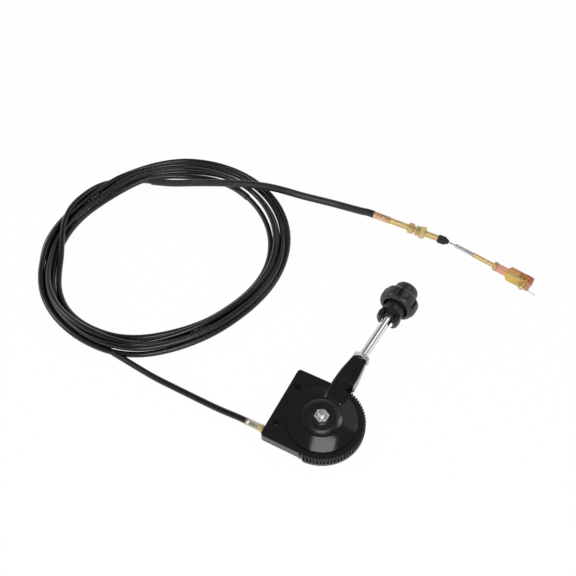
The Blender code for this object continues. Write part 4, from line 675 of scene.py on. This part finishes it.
def ribbed(count, depth, low, high):
    """Shallow ribs on the outer wall between two stations."""
    def shape(r, station, t):
        here = np.clip((station - low) / (0.4 * MM), 0, 1) * np.clip((high - station) / MM, 0, 1)
        return np.where(r > 4.6 * MM, r - depth * here * (0.5 + 0.5 * np.cos(count * t)), r)
    return shape


ferrule = np.array([
    (1.2, -20.3), (3.7, -20.3), (3.7, -17.6), (3.55, -16.6), (3.55, -8.4), (3.7, -7.4),
    (3.7, -3.3), (4.3, -3.3), (4.3, -0.3), (3.0, -0.3), (3.0, 7.0), (1.2, 7.0)]) * MM
turned("head_ferrule", finely(eased(ferrule, 0.25 * MM), 0.5 * MM), FERRULE, "worn_nickel",
       sides=72, shape=crimped(-18 * MM, -5 * MM, 0.9))
crimp = [(3.6, 0), (4.5, 0)]
crimp += [(4.5 - dip, 20.5 * share + off) for share in (0.22, 0.45, 0.68)
          for dip, off in ((0, -1.4), (0.14, -0.6), (0.14, 0.6), (0, 1.4))]
crimp = np.array(crimp + [(4.5, 20.5), (3.6, 20.5)]) * MM
turned("crimp_ferrule", eased(crimp, 0.3 * MM), FITTING, "red_zinc", sides=64)
tube_profile = np.array([
    (1.5, 8.5), (3.3, 8.5), (3.3, 20.8), (4.0, 20.8), (4.0, 87.8), (3.6, 88.2), (1.5, 88.2)]) * MM
turned("threaded_tube", finely(tube_profile, 0.21 * MM), FITTING, "yellow_zinc", sides=32,
       sharp=60, shape=thread(4.0 * MM, 1.25 * MM, 0.35 * MM, 23 * MM, 87.6 * MM))
wiper = np.array([
    (4.3, 84.6), (4.9, 84.6), (5.2, 85.1), (5.2, 93.0), (4.6, 93.5), (2.1, 98.0), (1.3, 98.0),
    (1.3, 88.5), (4.3, 88.5)]) * MM
turned("wiper_cap", finely(eased(wiper, 0.3 * MM), 0.6 * MM), FITTING, "rubber", sides=72,
       shape=ribbed(9, 0.7 * MM, 85.2 * MM, 93.4 * MM))
sleeve_profile = np.array([
    (1.6, 5.3), (2.1, 5.3), (2.6, 5.8), (2.6, 9.0), (2.45, 10.0), (2.45, 20.0), (2.6, 21.0),
    (2.6, 28.5), (2.1, 29.0), (1.6, 29.0)]) * MM
turned("core_sleeve", eased(sleeve_profile, 0.2 * MM), CLEVIS, "zinc", sides=48)
rod_profile = np.array([
    (0, 18.5), (1.3, 18.5), (1.3, 29.3), (2.9, 29.3), (2.9, 72.0), (0, 72.0)]) * MM
turned("end_rod", finely(rod_profile, 0.18 * MM), CLEVIS, "yellow_zinc", sides=28, sharp=60,
       shape=thread(2.9 * MM, 1.0 * MM, 0.28 * MM, 30 * MM, 72.5 * MM))

# %% [markdown]
# ## Everything else
# The castings, nuts, washers and pins keep the frame's own shapes, dressed as above. Where flats
# meet at a small angle, on the base, the lever's casting and the clevis, the edge stays crisp.

# %% Dress the rest
CABLE_NODES = ("cable_lead_head", "cable_coil", "end_sleeve")
OTHER_FINISH = {"clevis": "fork", "base_housing": "base"}
SHARP = {"base_housing": 20, "lever_hub": 14, "clevis": 20}
for node in BODY_OF:
    if node not in CABLE_NODES and node not in DONE:
        dress(node, OTHER_FINISH.get(node, SLOT_OF[node]), sharp=SHARP.get(node, 32))
print("turned:", len(DONE), "dressed:", len(BODY_OF) - len(CABLE_NODES) - len(DONE))

# %% [markdown]
# ## The cable
# The conduit is one round tube along the route. Its last stretch wears a thicker sleeve, and a
# short one sits on the innermost turn.

# %% The cable and its sleeves
def tube(name, points, radius, finish, sides=14):
    """A round tube along points, as a curve with one open spline."""
    curve = bpy.data.curves.new(name, "CURVE")
    curve.dimensions = "3D"
    curve.bevel_depth = radius
    curve.bevel_resolution = (sides - 4) // 2
    curve.use_fill_caps = True
    spline = curve.splines.new("POLY")
    spline.points.add(len(points) - 1)
    spline.points.foreach_set("co", np.c_[points, np.ones(len(points))].ravel())
    curve.materials.append(FINISH[finish])
    piece = bpy.data.objects.new(name, curve)
    bpy.context.scene.collection.objects.link(piece)
    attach(piece, "head")
    return piece


END_SLEEVE_LENGTH = 0.296
MARKER_TURNS = (4.555, 4.606)
MARKER_RADIUS = 4.1 * MM
cable = tube("cable", cable_path, CABLE_RADIUS, "cable_jacket")
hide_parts(*CABLE_NODES)
walked = walk(cable_path)
sleeve = tube("end_sleeve_tube", cable_path[walked > cable_length - END_SLEEVE_LENGTH],
              SLEEVE_RADIUS, "sleeve", 18)
marked = [np.linalg.norm(cable_path - coil_points[round(at * SLICES)], axis=1).argmin()
          for at in MARKER_TURNS]
marker = tube("marker_sleeve", cable_path[marked[0]:marked[1] + 1], MARKER_RADIUS, "sleeve", 18)
print("marker sleeve:", len(marker.data.splines[0].points), "points")

# %% [markdown]
# ## Table and light
# The photograph is a product shot on white. The table shows white to the camera and to bright
# metal, keeps a trace of the object's shadow, and is dark under the two bolt holes, which stand
# on it. The room is white at the horizon and dim overhead, so that the black paint stays black.
# Light comes from a wide soft box in front, one at the left, two small ones at the right and
# behind, and one high overhead, which draws the bright wedge on the lever's cone.

# %% Table
TABLE_DROP = 0.2 * MM
TABLE_WHITE = 0.97  # share of the table that shows as plain white to the camera
HOLE_STATION, HOLE_SIDE = -38.4 * MM, 23 * MM
floor_mesh = bpy.data.meshes.new("table")
floor_mesh.from_pydata([(-6, -6, 0), (6, -6, 0), (6, 6, 0), (-6, 6, 0)], [], [(0, 1, 2, 3)])
table = bpy.data.objects.new("table", floor_mesh)
table.location.z = -TABLE_DROP
bpy.context.scene.collection.objects.link(table)
paper, tree, shader, place = blank("white_paper")
shader.inputs["Base Color"].default_value = linear("#fafafa")
shader.inputs["Roughness"].default_value = 0.9
path = add(tree, "ShaderNodeLightPath")
seen = add(tree, "ShaderNodeMath", {0: path.outputs["Is Camera Ray"],
                                    1: path.outputs["Is Glossy Ray"]}, operation="MAXIMUM")
seen = add(tree, "ShaderNodeMath", {0: seen.outputs[0], 1: path.outputs["Is Transmission Ray"]},
           operation="MAXIMUM")
glow = add(tree, "ShaderNodeEmission", {"Color": (1, 1, 1, 1), "Strength": 1.0})
clear_of = [add(tree, "ShaderNodeVectorMath", {
    0: place, 1: tuple(on_axis(HEAD, HOLE_STATION, side))}, operation="DISTANCE").outputs["Value"]
    for side in (-HOLE_SIDE, HOLE_SIDE)]
nearest = add(tree, "ShaderNodeMath", {0: clear_of[0], 1: clear_of[1]}, operation="MINIMUM")
open_table = ramp(tree, nearest.outputs[0], 5 * MM, 8 * MM)
share = add(tree, "ShaderNodeMath", {0: seen.outputs[0], 1: TABLE_WHITE}, operation="MULTIPLY")
share = add(tree, "ShaderNodeMath", {0: share.outputs[0], 1: open_table}, operation="MULTIPLY")
mixed = add(tree, "ShaderNodeMixShader", {0: share.outputs[0], 1: shader.outputs["BSDF"],
                                          2: glow.outputs["Emission"]})
tree.links.new(mixed.outputs["Shader"], tree.nodes["Material Output"].inputs["Surface"])
floor_mesh.materials.append(paper)
print("table:", table.name)

# %% Room
world = bpy.data.worlds.new("studio")
world.use_nodes = True
bpy.context.scene.world = world
tree = world.node_tree
room = tree.nodes["Background"]
room.inputs["Color"].default_value = (1, 1, 1, 1)
direction = add(tree, "ShaderNodeTexCoord").outputs["Generated"]
rise = add(tree, "ShaderNodeSeparateXYZ", {"Vector": direction}).outputs["Z"]
tree.links.new(ramp(tree, rise, 0.30, 0.74, 1.0, 0.16), room.inputs["Strength"])


# %% Lamps
def soft_box(name, place, target, size, power):
    """A rectangular area lamp that faces a point."""
    lamp = bpy.data.lights.new(name, "AREA")
    lamp.shape = "RECTANGLE"
    lamp.size, lamp.size_y = size
    lamp.energy = power
    holder = bpy.data.objects.new(name, lamp)
    holder.location = place
    aim = Vector(target) - Vector(place)
    holder.rotation_euler = aim.to_track_quat("-Z", "Y").to_euler()
    bpy.context.scene.collection.objects.link(holder)


soft_box("front_box", (0.1, -0.9, 1.1), (0.0, 0.1, 0), (0.9, 0.6), 11)
soft_box("left_box", (-1.2, 0.3, 0.9), (-0.1, 0.2, 0), (0.6, 0.9), 5)
soft_box("right_box", (0.69, 0.47, 1.05), (0.08, 0.12, 0), (0.30, 0.36), 1.1)
soft_box("sky_box", (0.56, 0.90, 1.4), (0, 0, 0), (0.42, 0.6), 0.3)
soft_box("strip_box", (0.10, 0.38, 2.32), (0, 0, 0), (0.485, 0.66), 3.2)
bpy.context.scene.view_settings.view_transform = "Standard"
